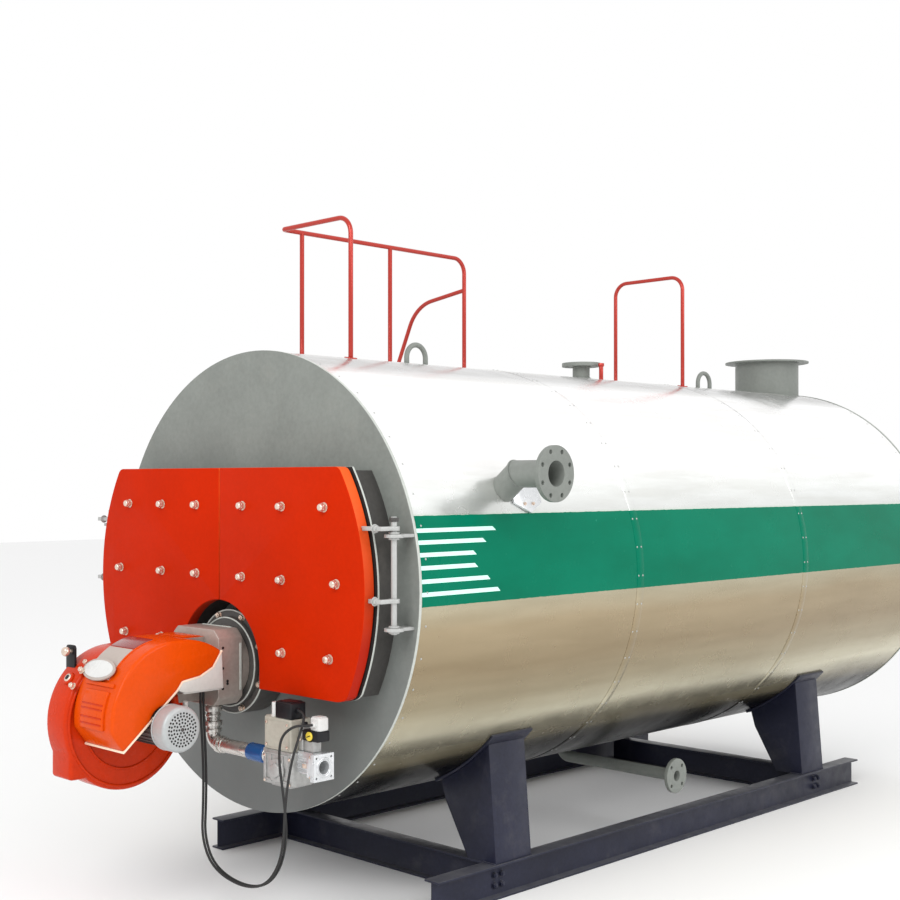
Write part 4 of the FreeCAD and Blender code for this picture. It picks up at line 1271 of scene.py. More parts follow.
@dataclass
class Burner:
    """The gas burner: head, cover, fan, motor, mimic panel and small fittings.

    Attributes:
        datum: where the shell lies; not used.
        crown: three points of the cover's sloping top, as (to the rear, up) from the fan's axis.
        brow: three points of the cover's front.
        hem: the corners of the cover's lower edge.
        mimic: the mimic panel's left and right sides.
        mimic_span: how far down the slope it runs, as shares of the crown's arc.
        badge: the half width and half height of the bare oval badge.
        brow_span: the left and right sides of the cover's front panel.
        hole: the radius of a hole in the motor's grille.
        grille: each ring of holes, as (radius, count).
        fins: how many cooling fins the motor has.
        stud_circle: the radius of the circle of the flange's nuts.
        stud_count: how many there are.
        band_share: where the pale band lies along the neck, as a share of its front part.
    """

    datum: Datum
    crown: tuple[tuple[float, float], ...] = ((0.058, 0.316), (-0.110, 0.273), (-0.210, 0.159))
    brow: tuple[tuple[float, float], ...] = ((-0.210, 0.159), (-0.242, 0.069), (-0.244, -0.001))
    hem: tuple[tuple[float, float], ...] = ((-0.244, -0.001), (-0.192, -0.073), (0.049, 0.129),
                                            (0.072, 0.159),
                                            (0.155, 0.171), (0.218, 0.201), (0.260, 0.261))
    mimic: tuple[float, float] = (-0.040, 0.112)
    mimic_span: tuple[float, float, float] = (0.18, 0.46, 0.93)
    badge: tuple[float, float] = (0.100, 0.047)
    brow_span: tuple[float, float] = (0.000, 0.150)
    hole: float = 0.0042
    grille: tuple[tuple[float, int], ...] = ((0.014, 6), (0.026, 12), (0.038, 17), (0.050, 22), (0.061, 27))
    fins: int = 26
    stud_circle: float = 0.198
    stud_count: int = 8
    band_share: float = 0.92

    def __post_init__(self) -> None:
        """Finds the fan's axis and the cover's two sides."""
        low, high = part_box("motor_body")
        self.fan = Vector((0, (low.y + high.y) / 2, (low.z + high.z) / 2))
        cover_low, cover_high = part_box("burner_cover")
        self.left, self.right = cover_low.x, cover_high.x

    def spot(self, x: float, corner: tuple[float, float]) -> Vector:
        """A point from the fan's axis, as (to the rear, up)."""
        return Vector((x, self.fan.y + corner[0], self.fan.z + corner[1]))

    def build(self) -> None:
        """Builds and dresses the burner."""
        self.mouth()
        self.head()
        self.cover()
        self.trim()
        self.brow_panel()
        self.mimic_panel()
        self.fan_housing()
        self.fittings()
        self.motor()

    def mouth(self) -> None:
        """Dresses the collar, flange and neck, with studs, bright rims painted pale as highlights, and a pale
        neck band.
        """
        DEEP_GREY_AND_SHADE.dress(refine("furnace_collar", "furnace_collar_skin", 0.005, 3), BODY, "furnace_collar")
        DEEP_GREY_AND_SHADE.dress(refine("burner_flange", "burner_flange_skin", 0.003, 3), BODY, "burner_flange")
        HEAD_GREY.dress(refine("burner_neck", "burner_neck_skin", 0.008, 4), BODY, "burner_neck")
        low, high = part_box("furnace_collar")
        middle = (low + high) / 2
        places = []
        for step in range(self.stud_count):
            turn = 2 * math.pi * (step + 0.5) / self.stud_count
            spot = (middle.x + self.stud_circle * math.cos(turn), low.y,
                    middle.z + self.stud_circle * math.sin(turn))
            places.append(facing(spot, (0, -1, 0)))
        NUT_STEEL.dress(repeat("flange_nuts", nut(0.012, 0.012), places))
        flange_low, flange_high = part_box("burner_flange")
        forward = (0, -1, 0)
        rims = [ring("rim", (high.x - low.x) / 2 - 0.004, 0.0035,
                     facing((middle.x, low.y, middle.z), forward), 72),
                ring("rim", (flange_high.x - flange_low.x) / 2 - 0.004, 0.0035,
                     facing((middle.x, flange_low.y, middle.z), forward), 72)]
        # The pale rings on the collar's and flange's rims are painted highlights.
        PALE_BAND_AND_EDGE_HIGHLIGHT.dress(join("mouth_rims", rims))
        neck_low, neck_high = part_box("burner_neck")
        bands = []
        y = neck_low.y + self.band_share * 0.12
        half = (neck_high.x - neck_low.x) / 2
        for side in (1, -1):
            bands.append(beam("band", (side * half, y, middle.z - half * 0.62),
                              (side * half, y, middle.z + half * 0.62), 0.010, 0.005, (side, 0, 0)))
        bands.append(beam("band", (-half * 0.62, y, middle.z + half), (half * 0.62, y, middle.z + half),
                          0.010, 0.005))
        PALE_BAND_AND_EDGE_HIGHLIGHT.dress(soften(join("neck_bands", bands), 0.0015))

    def head(self) -> None:
        """Dresses the head, with a painted top and lid, and dark screws on the neck's right side."""
        head = HEAD_GREY.dress(refine("burner_head", "burner_head_skin", 0.006, 3), BODY, "burner_head")
        BURNER_ORANGE.edge(head, lambda centre, normal: normal.z > 0.35)
        low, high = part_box("burner_head")
        neck_low, neck_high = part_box("burner_neck")
        side, drop = neck_high.x, (neck_low.z + neck_high.z) / 2
        places = [facing((side, neck_low.y + 0.022, drop + rise), (1, 0, 0)) for rise in (-0.08, 0.0, 0.08)]
        places += [facing((side, neck_low.y + 0.045, drop + rise), (1, 0, 0)) for rise in (-0.052, -0.062)]
        SOOT_AND_SHADE.dress(repeat("head_screws", disc("screw", 0.0055, 0.003, Matrix(), 12, 0.001), places))
        lid = block("head_lid", (low.x + 0.006, low.y + 0.112, high.z),
                    (high.x - 0.01, high.y - 0.012, high.z + 0.004))
        BURNER_ORANGE.dress(soften(lid, 0.0018))

    def cover(self) -> None:
        """Dresses the side cover, with its edges well rounded, and the bracket panel."""
        skin = refine("burner_cover", "burner_cover_skin", 0.014, 4, 40.0)
        BURNER_ORANGE.dress(skin, BODY, "burner_cover")
        ZINC_WHITE.dress(refine("bracket_panel", "bracket_panel_skin", 0.004, 3), BODY, "bracket_panel")
        low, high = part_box("bracket_panel")
        ledge = block("bracket_ledge", (low.x + 0.02, low.y + 0.03, low.z - 0.004),
                      (high.x - 0.004, high.y - 0.01, low.z))
        ZINC_WHITE.dress(soften(ledge, 0.0012))

    def trim(self) -> None:
        """Lays the pale trim along the cover's lower edge, round the front and up the side."""
        corners = [self.spot(self.right - 0.004, corner) for corner in self.hem]
        strips = []
        for first, last in zip(corners[1:], corners[2:]):
            below = Vector((1, 0, 0)).cross(last - first).normalized()
            strips.append(beam("trim", first, last + (last - first).normalized() * 0.002, 0.009, 0.008,
                               below))
        toe = corners[1]
        strips.append(beam("trim", (self.left + 0.004, toe.y, toe.z), (toe.x + 0.003, toe.y, toe.z), 0.008,
                           0.009,
                           (0, -0.35, -1)))
        CREAM_TRIM.dress(soften(join("cover_trim", strips), 0.002, 2))

    def arc(self, points: tuple[tuple[float, float], ...], start: float, end: float, lift: float,
            steps: int = 14) -> list[tuple[float, float]]:
        """Points along one of the cover's arcs, lifted off it.

        Args:
            points: the arc's three points.
            start: the share of the arc to start at.
            end: the share to end at.
            lift: how far out of the arc.
            steps: how many pieces it is cut in.

        Returns:
            The points, as (y, z).
        """
        spots = [self.spot(0, point) for point in points]
        centre, radius = circle_through(*spots)
        angles = [math.atan2(spot.z - centre.z, spot.y - centre.y) for spot in (spots[0], spots[2])]
        if abs(angles[1] - angles[0]) > math.pi:
            angles[1] += math.copysign(2 * math.pi, angles[0] - angles[1])
        found = []
        for step in range(steps + 1):
            share = start + (end - start) * step / steps
            turn = angles[0] + (angles[1] - angles[0]) * share
            reach = radius + lift
            found.append((centre.y + reach * math.cos(turn), centre.z + reach * math.sin(turn)))
        return found

    def slab(self, name: str, points: tuple[tuple[float, float], ...], span: tuple[float, float],
             sides: tuple[float, float], lift: float, bevel: float) -> bpy.types.Object:
        """A plate that follows one of the cover's arcs.

        Args:
            name: its name.
            points: the arc's three points.
            span: the shares of the arc it runs between.
            sides: its left and right sides.
            lift: how far it stands out.
            bevel: the rounding of its edges.

        Returns:
            The plate.
        """
        outer = self.arc(points, *span, lift)
        inner = self.arc(points, *span, -0.012)
        return soften(ribbon(name, outer + inner[::-1], *sides), bevel, 3, 40.0)

    def brow_panel(self) -> None:
        """Builds the raised panel on the cover's front, its ledge and its grooves, drawn as raised ribs in a
        darker red that is painted shade.
        """
        panel = self.slab("brow_panel", self.brow, (0.10, 0.97), self.brow_span, 0.011, 0.006)
        BURNER_ORANGE.dress(panel)
        ledge = self.slab("brow_ledge", self.crown, (0.955, 1.0),
                          (self.brow_span[0] - 0.02, self.brow_span[1] + 0.012),
                          0.008, 0.004)
        BURNER_ORANGE.dress(ledge)
        ribs = []
        for share in (0.42, 0.52, 0.70, 0.84):
            y, z = self.arc(self.brow, share, share + 0.001, 0.012, 1)[0]
            ribs.append(beam("rib", (self.brow_span[0] + 0.006, y, z), (self.brow_span[1] - 0.006, y, z),
                             0.004, 0.005))
        # The ribs' darker red is painted shade for the grooves' dark lines.
        BURNER_RED.dress(soften(join("brow_ribs", ribs), 0.0015))

    def mimic_panel(self) -> None:
        """Lays the mimic panel on the slope, with its dark window and bare oval badge."""
        start, middle, end = self.mimic_span
        frame_sides = (self.mimic[0] - 0.006, self.mimic[1] + 0.006)
        BURNER_ORANGE.dress(self.slab("mimic_frame", self.crown, (start - 0.02, end), frame_sides, 0.0035,
                                      0.0015))
        MIMIC_DARK.dress(self.slab("mimic_window", self.crown, (start, middle), self.mimic, 0.006, 0.002))
        MIMIC_GREY.dress(self.slab("mimic_plate", self.crown, (middle + 0.01, end - 0.01), self.mimic, 0.006,
                                   0.002))
        y, z = self.arc(self.crown, end - 0.10, end, 0.010, 1)[0]
        inner = self.arc(self.crown, end - 0.10, end, -0.010, 1)[0]
        out = Vector((0, y - inner[0], z - inner[1])).normalized()
        middle_x = (self.mimic[0] + self.mimic[1]) / 2
        turn = Matrix((Vector((1, 0, 0)), out.cross(Vector((1, 0, 0))), out)).transposed().to_4x4()
        stand = Matrix.Translation((middle_x, y, z)) @ turn
        wide, tall = self.badge
        rim = disc("badge_rim", 1.0, 0.008, Matrix(), 64)
        rim.data.transform(Matrix.Diagonal((wide, tall, 1, 1)))
        soften(rim, 0.002, 2)
        rim.data.transform(stand)
        MIMIC_GREY.dress(rim)
        face = disc("badge_face", 1.0, 0.0105, Matrix(), 64)
        face.data.transform(Matrix.Diagonal((wide - 0.010, tall - 0.010, 1, 1)))
        soften(face, 0.002, 2)
        face.data.transform(stand)
        PALE_CASE.dress(face)

    def fan_housing(self) -> None:
        """Dresses the fan housing, with beads, a bolted side plate and an inlet ring."""
        BURNER_RED.dress(refine("fan_housing", "fan_housing_skin", 0.016, 4, 40.0), BODY, "fan_housing")
        low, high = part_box("fan_housing")
        radius = (high.y - low.y) / 2 if high.y - low.y < 0.56 else 0.279
        right = facing((self.left + 0.001, self.fan.y, self.fan.z), (1, 0, 0))
        left = facing((low.x, self.fan.y, self.fan.z), (-1, 0, 0))
        beads = [ring("bead", radius - 0.018, 0.006, right, 96),
                 ring("bead", radius - 0.085, 0.005, right, 96),
                 ring("bead", radius - 0.022, 0.005, left, 96)]
        BURNER_RED.dress(join("fan_beads", beads))
        seam = ring("fan_seam", radius - 0.003, 0.0028,
                    facing(((low.x + self.left) / 2, self.fan.y, self.fan.z),
                                                              (1, 0, 0)), 128)
        BURNER_ORANGE.dress(seam)
        plate = disc("fan_side_plate", radius * 0.62, 0.004, left, 64, 0.001)
        BURNER_RED.dress(plate)
        places = []
        for step in range(10):
            turn = 2 * math.pi * step / 10
            spot = (low.x - 0.004, self.fan.y + radius * 0.56 * math.cos(turn),
                    self.fan.z + radius * 0.56 * math.sin(turn))
            places.append(facing(spot, (-1, 0, 0)))
        NUT_STEEL.dress(repeat("fan_plate_screws", disc("screw", 0.006, 0.004, Matrix(), 6, 0.001), places))

    def fittings(self) -> None:
        """Adds the sight plate and knob, air adjuster, red cap and wing nuts."""
        radius = 0.279
        rise = math.sqrt(radius ** 2 - 0.185 ** 2)
        base = Vector((self.left - 0.105, self.fan.y - 0.185, self.fan.z + rise + 0.035))
        plate = block("sight_plate", base + Vector((-0.030, -0.006, -0.070)),
                      base + Vector((0.030, 0.004, 0.045)))
        round_edges(plate, lambda a, b: abs(a.y - b.y) > 0.008, 0.014, 5)
        BLACK_CASE.dress(soften(plate, 0.001))
        stem = disc("sight_stem", 0.008, 0.020, facing(base + Vector((0.008, -0.005, 0.022)), (0, -1, 0)), 20,
                    0.001)
        ball = disc("sight_knob", 0.018, 0.026, facing(base + Vector((0.008, -0.018, 0.022)), (0, -1, 0)), 32,
                    0.009)
        NUT_STEEL.dress(join("sight_knob", [stem, ball]))
        out = Vector((0, -0.80, 0.60))
        centre = Vector((self.left - 0.060, self.fan.y, self.fan.z)) + out * (radius - 0.004)
        boss = disc("air_boss", 0.026, 0.012, facing(centre, out), 36, 0.004)
        BURNER_RED.dress(boss)
        NUT_STEEL.dress(disc("air_pointer", 0.017, 0.016, facing(centre, out), 32, 0.004))
        # A black disc in the adjuster: painted shade for its hole.
        BLACK_CASE.dress(disc("air_hole_shade", 0.010, 0.0172, facing(centre, out), 24, 0.001))
        wing_places = []
        for share, x in ((0.72, self.left + 0.010), (0.86, self.left + 0.012), (0.60, self.left - 0.03)):
            up = Vector((0, -share, math.sqrt(1 - share ** 2)))
            reach = radius + (0.012 if x > self.left else -0.004)
            wing_places.append(facing(Vector((x, self.fan.y, self.fan.z)) + up * reach, up))
        NUT_STEEL.dress(repeat("wing_nuts", nut(0.011, 0.014), wing_places))
        cap = disc("red_cap", 0.020, 0.045, facing(self.spot(0.125, (0.085, 0.062)), (0.2, -0.3, 0.9)), 32,
                   0.006)
        BURNER_RED.dress(cap)
        tap = disc("pressure_tap", 0.010, 0.035, facing(self.spot(0.150, (0.120, 0.045)), (0.3, -0.2, 0.9)),
                   24, 0.003)
        ZINC_WHITE.dress(tap)

    def motor(self) -> None:
        """Dresses the motor, with fins and a cowl whose grille holes are painted as black discs."""
        MOTOR_DARK.dress(refine("motor_body", "motor_body_skin", 0.004, 3), BODY, "motor_body")
        MOTOR_PALE.dress(refine("motor_cowl", "motor_cowl_skin", 0.014, 5), BODY, "motor_cowl")
        low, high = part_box("motor_cowl")
        body_low, body_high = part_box("motor_body")
        reach = (body_high.z - body_low.z) / 2
        fin = block("fin", (0, -0.0012, -0.004), (low.x - body_low.x - 0.03, 0.0012, 0.0035))
        soften(fin, 0.0006, 1)
        places = []
        for step in range(self.fins):
            turn = 2 * math.pi * step / self.fins
            out = Vector((0, math.cos(turn), math.sin(turn)))
            across = Vector((1, 0, 0))
            frame = Matrix((across, out.cross(across), out)).transposed().to_4x4()
            places.append(Matrix.Translation(Vector((body_low.x + 0.02, self.fan.y,
                                                     self.fan.z)) + out * reach) @ frame)
        MOTOR_DARK.dress(repeat("motor_fins", fin, places))
        face = high.x
        holes = []
        for radius, count in self.grille:
            for step in range(count):
                turn = 2 * math.pi * (step + 0.3 * (count % 2)) / count
                spot = (face - 0.0002, self.fan.y + radius * math.cos(turn),
                        self.fan.z + radius * math.sin(turn))
                holes.append(facing(spot, (1, 0, 0)))
        # The grille's holes are black discs: painted shade where the holes are.
        SOOT_AND_SHADE.dress(repeat("cowl_hole_shade", disc("hole", self.hole, 0.0007, Matrix(), 10), holes))
        hub = disc("cowl_hub", 0.007, 0.003, facing((face, self.fan.y, self.fan.z), (1, 0, 0)), 24, 0.001)
        MOTOR_DARK.dress(hub)
        rim = ring("cowl_rim", (high.z - low.z) / 2 - 0.002, 0.003,
                   facing((low.x + 0.003, self.fan.y, self.fan.z),
                                                                          (1, 0, 0)), 72)
        MOTOR_PALE.dress(rim)


# ---------------------------------------------------------------- gas train


@dataclass
class GasTrain:
    """The gas pipe, union, valve, solenoid, regulator, switch and their fittings.

    Attributes:
        datum: where the shell lies; not used.
        collar: how far a pipe fitting stands out of its pipe.
        screw: the radius of a socket screw.
        knob: the radius of the switch's yellow knob.
        cap: the radius of the white cap beside the connector.
        port: the radius of the round port in the inlet flange.
        port_beads: the thickness of its outer and inner rings.
        port_step: how far the inner ring lies inside the outer one.
        flange_back: how far the inlet flange's back lies behind its face.
        corner: where its corner bolts stand, as a share of its half side.
        bolt: the radius and height of such a bolt.
    """

    datum: Datum
    collar: float = 0.0065
    screw: float = 0.0055
    knob: float = 0.017
    cap: float = 0.014
    port: float = 0.034
    port_beads: tuple[float, float] = (0.0040, 0.0022)
    port_step: float = 0.007
    flange_back: float = 0.018
    corner: float = 0.735
    bolt: float = 0.008

    def build(self) -> None:
        """Builds and dresses the gas train."""
        self.pipe()
        self.valve()
        self.solenoid()
        self.inlet()
        self.switch()

    def pipe(self) -> None:
        """Dresses the pipe and union, with the elbow's fitting rings."""
        PIPE_STEEL.dress(refine("gas_pipe", "gas_pipe_skin", 0.001), BODY, "gas_pipe")
        union = UNION_BLUE.dress(refine("gas_union", "gas_union_skin", 0.004, 3), BODY, "gas_union")
        low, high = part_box("gas_pipe")
        y, radius = (low.y + high.y) / 2, (high.y - low.y) / 2
        level, top = low.z + radius, high.z
        rings = []
        for rise, height, extra in ((level + 0.052, 0.016, 1.0), (level + 0.080, 0.020, 1.4),
                                    (top - 0.030, 0.024, 1.2),
                                    (top - 0.058, 0.010, 0.6)):
            rings.append(soften(round_bar("ring", radius + self.collar * extra, height, (0, y, rise), Axis.Z,
                                          40), 0.002, 3))
        for x, width, extra in ((0.050, 0.018, 1.0), (0.074, 0.012, 0.6)):
            rings.append(soften(round_bar("ring", radius + self.collar * extra, width, (x, y, level), Axis.X,
                                          40), 0.002, 3))
        PIPE_STEEL.dress(join("elbow_rings", rings))
        union_low, union_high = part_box("gas_union")
        ring_radius = (union_high.z - union_low.z) / 2
        PIPE_STEEL.edge(union, lambda centre, normal: math.hypot(centre.y - y,
                                                                 centre.z - level) < radius + 0.002
                        and centre.x > union_low.x + 0.05)
        bands = []
        for offset in (0.012, 0.088):
            bands.append(soften(round_bar("band", ring_radius + 0.0015, 0.012,
                                          (union_low.x + offset, y, level), Axis.X, 8),
                                0.002, 2))
        UNION_BLUE.dress(join("union_hexes", bands))

    def panel_screws(self, name: str, places: Sequence[Matrix]) -> None:
        """Sets a group of socket screws.

        Args:
            name: the group's name.
            places: where each one stands.
        """
        head = disc("head", self.screw, 0.004, Matrix(), 16, 0.001)
        NUT_STEEL.dress(repeat(name, head, places))

    def valve(self) -> None:
        """Dresses the cast valve body, with its cover, ribs and screws."""
        CAST_ALLOY.dress(refine("gas_valve", "gas_valve_skin", 0.010, 4), BODY, "gas_valve")
        low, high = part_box("gas_valve")
        middle = (low + high) / 2
        boss = disc("valve_boss", 0.044, 0.010, facing((middle.x, low.y, middle.z - 0.008), (0, -1, 0)), 48,
                    0.003)
        cap = disc("valve_cap", 0.030, 0.018, facing((middle.x, low.y, middle.z - 0.008), (0, -1, 0)), 6,
                   0.004)
        CAST_ALLOY.dress(join("valve_cover", [boss, cap]))
        ribs = []
        for share in (0.12, 0.30, 0.70, 0.88):
            x = low.x + share * (high.x - low.x)
            ribs.append(block("rib", (x - 0.003, low.y - 0.005, low.z + 0.012),
                              (x + 0.003, low.y + 0.004, high.z - 0.012)))
        for z in (low.z + 0.020, high.z - 0.014):
            ribs.append(block("rib", (low.x + 0.012, low.y - 0.005, z - 0.003),
                              (high.x - 0.012, low.y + 0.004, z + 0.003)))
        CAST_ALLOY.dress(soften(join("valve_ribs", ribs), 0.0015))
        places = []
        for x in (low.x + 0.014, high.x - 0.014):
            for z in (low.z + 0.012, high.z - 0.026):
                places.append(facing((x, low.y - 0.001, z), (0, -1, 0)))
        self.panel_screws("valve_screws", places)
        flange = block("valve_flange", (low.x - 0.010, low.y + 0.010, low.z + 0.010),
                       (low.x, high.y - 0.010, high.z - 0.002))
        CAST_ALLOY.dress(soften(flange, 0.003, 3))
        foot = block("valve_foot", (low.x + 0.030, low.y + 0.018, low.z - 0.008),
                     (high.x - 0.030, high.y - 0.018, low.z))
        CAST_ALLOY.dress(soften(foot, 0.003, 3))

    def solenoid(self) -> None:
        """Dresses the solenoid's case, lid, connector and white cap."""
        CASE_GREY.dress(refine("gas_solenoid", "gas_solenoid_skin", 0.006, 4), BODY, "gas_solenoid")
        low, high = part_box("gas_solenoid")
        lid = block("solenoid_lid", (low.x + 0.004, low.y + 0.004, high.z),
                    (high.x - 0.096, high.y - 0.004, high.z + 0.003))
        CASE_GREY.dress(soften(lid, 0.0012))
        rim = block("solenoid_plate", (low.x + 0.010, low.y - 0.0025, low.z + 0.010),
                    (high.x - 0.010, low.y, high.z - 0.012))
        step_in(rim, lambda centre, normal: normal.y < -0.9, 0.005, -0.0012)
        CASE_GREY.dress(soften(rim, 0.0008))
        corners = [(x, z) for x in (low.x + 0.018, high.x - 0.018) for z in (low.z + 0.018, high.z - 0.020)]
        self.panel_screws("solenoid_screws", [facing((x, low.y - 0.0025, z), (0, -1, 0)) for x, z in corners])
        BLACK_CASE.dress(refine("solenoid_connector", "solenoid_connector_skin", 0.005, 3), BODY,
                         "solenoid_connector")
        case_low, case_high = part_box("solenoid_connector")
        tag = block("connector_lid", (case_low.x + 0.010, case_low.y + 0.008, case_high.z),
                    (case_high.x - 0.010, case_high.y - 0.008, case_high.z + 0.003))
        BLACK_CASE.dress(soften(tag, 0.001))
        foot = (case_low.x - self.cap - 0.004, case_low.y + 0.018, high.z)
        white = disc("solenoid_cap", self.cap, 0.056, facing(foot), 32, 0.004)
        step_in(white, lambda centre, normal: normal.z > 0.95, 0.004, -0.002)
        PALE_CASE.dress(white)
        tube = disc("cap_collar", self.cap + 0.003, 0.008, facing(foot), 32, 0.002)
        ZINC_WHITE.dress(tube)
        point = Vector((case_high.x, (case_low.y + case_high.y) / 2 - 0.004, case_low.z + 0.033))
        gland = disc("connector_gland", 0.0095, 0.010, facing(point - Vector((0.001, 0, 0)), (1, 0, 0)), 24,
                     0.002)
        BLACK_CASE.dress(gland)

    def inlet(self) -> None:
        """Dresses the inlet block, its square flange and the small regulator."""
        BRIGHT_ALLOY.dress(refine("gas_inlet", "gas_inlet_skin", 0.002, 3), BODY, "gas_inlet")
        CAST_ALLOY.dress(refine("gas_regulator", "gas_regulator_skin", 0.005, 4), BODY, "gas_regulator")
        low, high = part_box("gas_regulator")
        middle = (low + high) / 2
        dome = disc("regulator_cap", 0.0115, 0.014, facing((middle.x, middle.y, high.z)), 32, 0.003)
        BLACK_CASE.dress(dome)
        spring = disc("regulator_boss", 0.010, 0.010, facing((middle.x, low.y, middle.z), (0, -1, 0)), 6,
                      0.002)
        NUT_STEEL.dress(spring)
        block_low, block_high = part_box("gas_inlet")
        y, z = (block_low.y + block_high.y) / 2, block_high.z - (block_high.z - block_low.z) / 2
        plug = disc("inlet_plug", 0.014, 0.008, facing((block_low.x + 0.045, y - 0.028, z), (0, -1, 0)), 6,
                    0.002)
        NUT_STEEL.dress(plug)
        half = (block_high.z - block_low.z) / 2
        face = block_high.x
        spot = facing((face - 0.0005, y, z), (1, 0, 0))
        ports = [ring("port", self.port, self.port_beads[0], spot, 48),
                 ring("port", self.port - self.port_step, self.port_beads[1], spot, 48)]
        BRIGHT_ALLOY.dress(join("inlet_port", ports))
        ribs = []
        for side in (-1, 1):
            ribs.append(block("rib", (block_low.x + 0.004, y - half * 0.62, z + side * half * 0.55 - 0.004),
                              (face - self.flange_back, y + half * 0.62, z + side * half * 0.55 + 0.004)))
            ribs.append(block("rib", (block_low.x + 0.004, y - half * 0.74, z + side * half * 0.20 - 0.003),
                              (face - self.flange_back, y - half * 0.50, z + side * half * 0.20 + 0.003)))
        ribs.append(block("rib", (face - 0.050, y - half * 0.86, z - half * 0.8),
                          (face - 0.019, y - half * 0.5, z + half * 0.7)))
        BRIGHT_ALLOY.dress(soften(join("inlet_ribs", ribs), 0.003, 3))
        out = half * self.corner
        bolts = [facing((face - 0.026, y + side * out, z + up * out), (-1, 0, 0))
                 for side in (-1, 1) for up in (-1, 1)]
        NUT_STEEL.dress(repeat("inlet_bolts", nut(self.bolt, self.bolt), bolts))

    def switch(self) -> None:
        """Dresses the pressure switch, its yellow knob, foot, plug and gland."""
        case = BLACK_CASE.dress(refine("pressure_switch", "pressure_switch_skin", 0.005, 4), BODY,
                                "pressure_switch")
        stem_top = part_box("pressure_switch")[0].z + 0.043
        CAST_ALLOY.edge(case, lambda centre, normal: centre.z < stem_top - 0.001)
        PALE_CASE.dress(refine("switch_plug", "switch_plug_skin", 0.007, 4), BODY, "switch_plug")
        low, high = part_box("pressure_switch")
        x, z = low.x + 0.046, (stem_top + high.z) / 2
        forward = (0, -1, 0)
        knob = disc("switch_knob", self.knob, 0.008, facing((x, low.y, z), forward), 40, 0.003)
        KNOB_YELLOW.dress(knob)
        bezel = ring("switch_bezel", self.knob + 0.003, 0.002, facing((x, low.y, z), forward), 48)
        BLACK_CASE.dress(bezel)
        notch = beam("knob_notch", (x - 0.010, low.y - 0.0085, z - 0.004),
                     (x + 0.010, low.y - 0.0085, z + 0.004),
                     0.0035, 0.002, forward)
        BLACK_CASE.dress(soften(notch, 0.0005))
        plug_low, plug_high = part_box("switch_plug")
        cap = block("plug_lid", (plug_low.x + 0.006, plug_low.y + 0.006, plug_high.z),
                    (plug_high.x - 0.006, plug_high.y - 0.006, plug_high.z + 0.003))
        PALE_CASE.dress(soften(cap, 0.001))
        point = ((plug_low.x + plug_high.x) / 2, plug_low.y + 0.001, plug_low.z + 0.025)
        gland = disc("plug_gland", 0.0115, 0.012, facing(point, forward), 6, 0.002)
        collar = disc("plug_collar", 0.014, 0.004, facing(point, forward), 32, 0.001)
        PALE_CASE.dress(join("plug_gland", [gland, collar]))
        screw = disc("plug_screw", 0.004, 0.002, facing(((plug_low.x + plug_high.x) / 2,
                     (plug_low.y + plug_high.y) / 2, plug_high.z + 0.0025)), 16, 0.0005)
        NUT_STEEL.dress(screw)


# ---------------------------------------------------------------- nozzles, rails and ladder


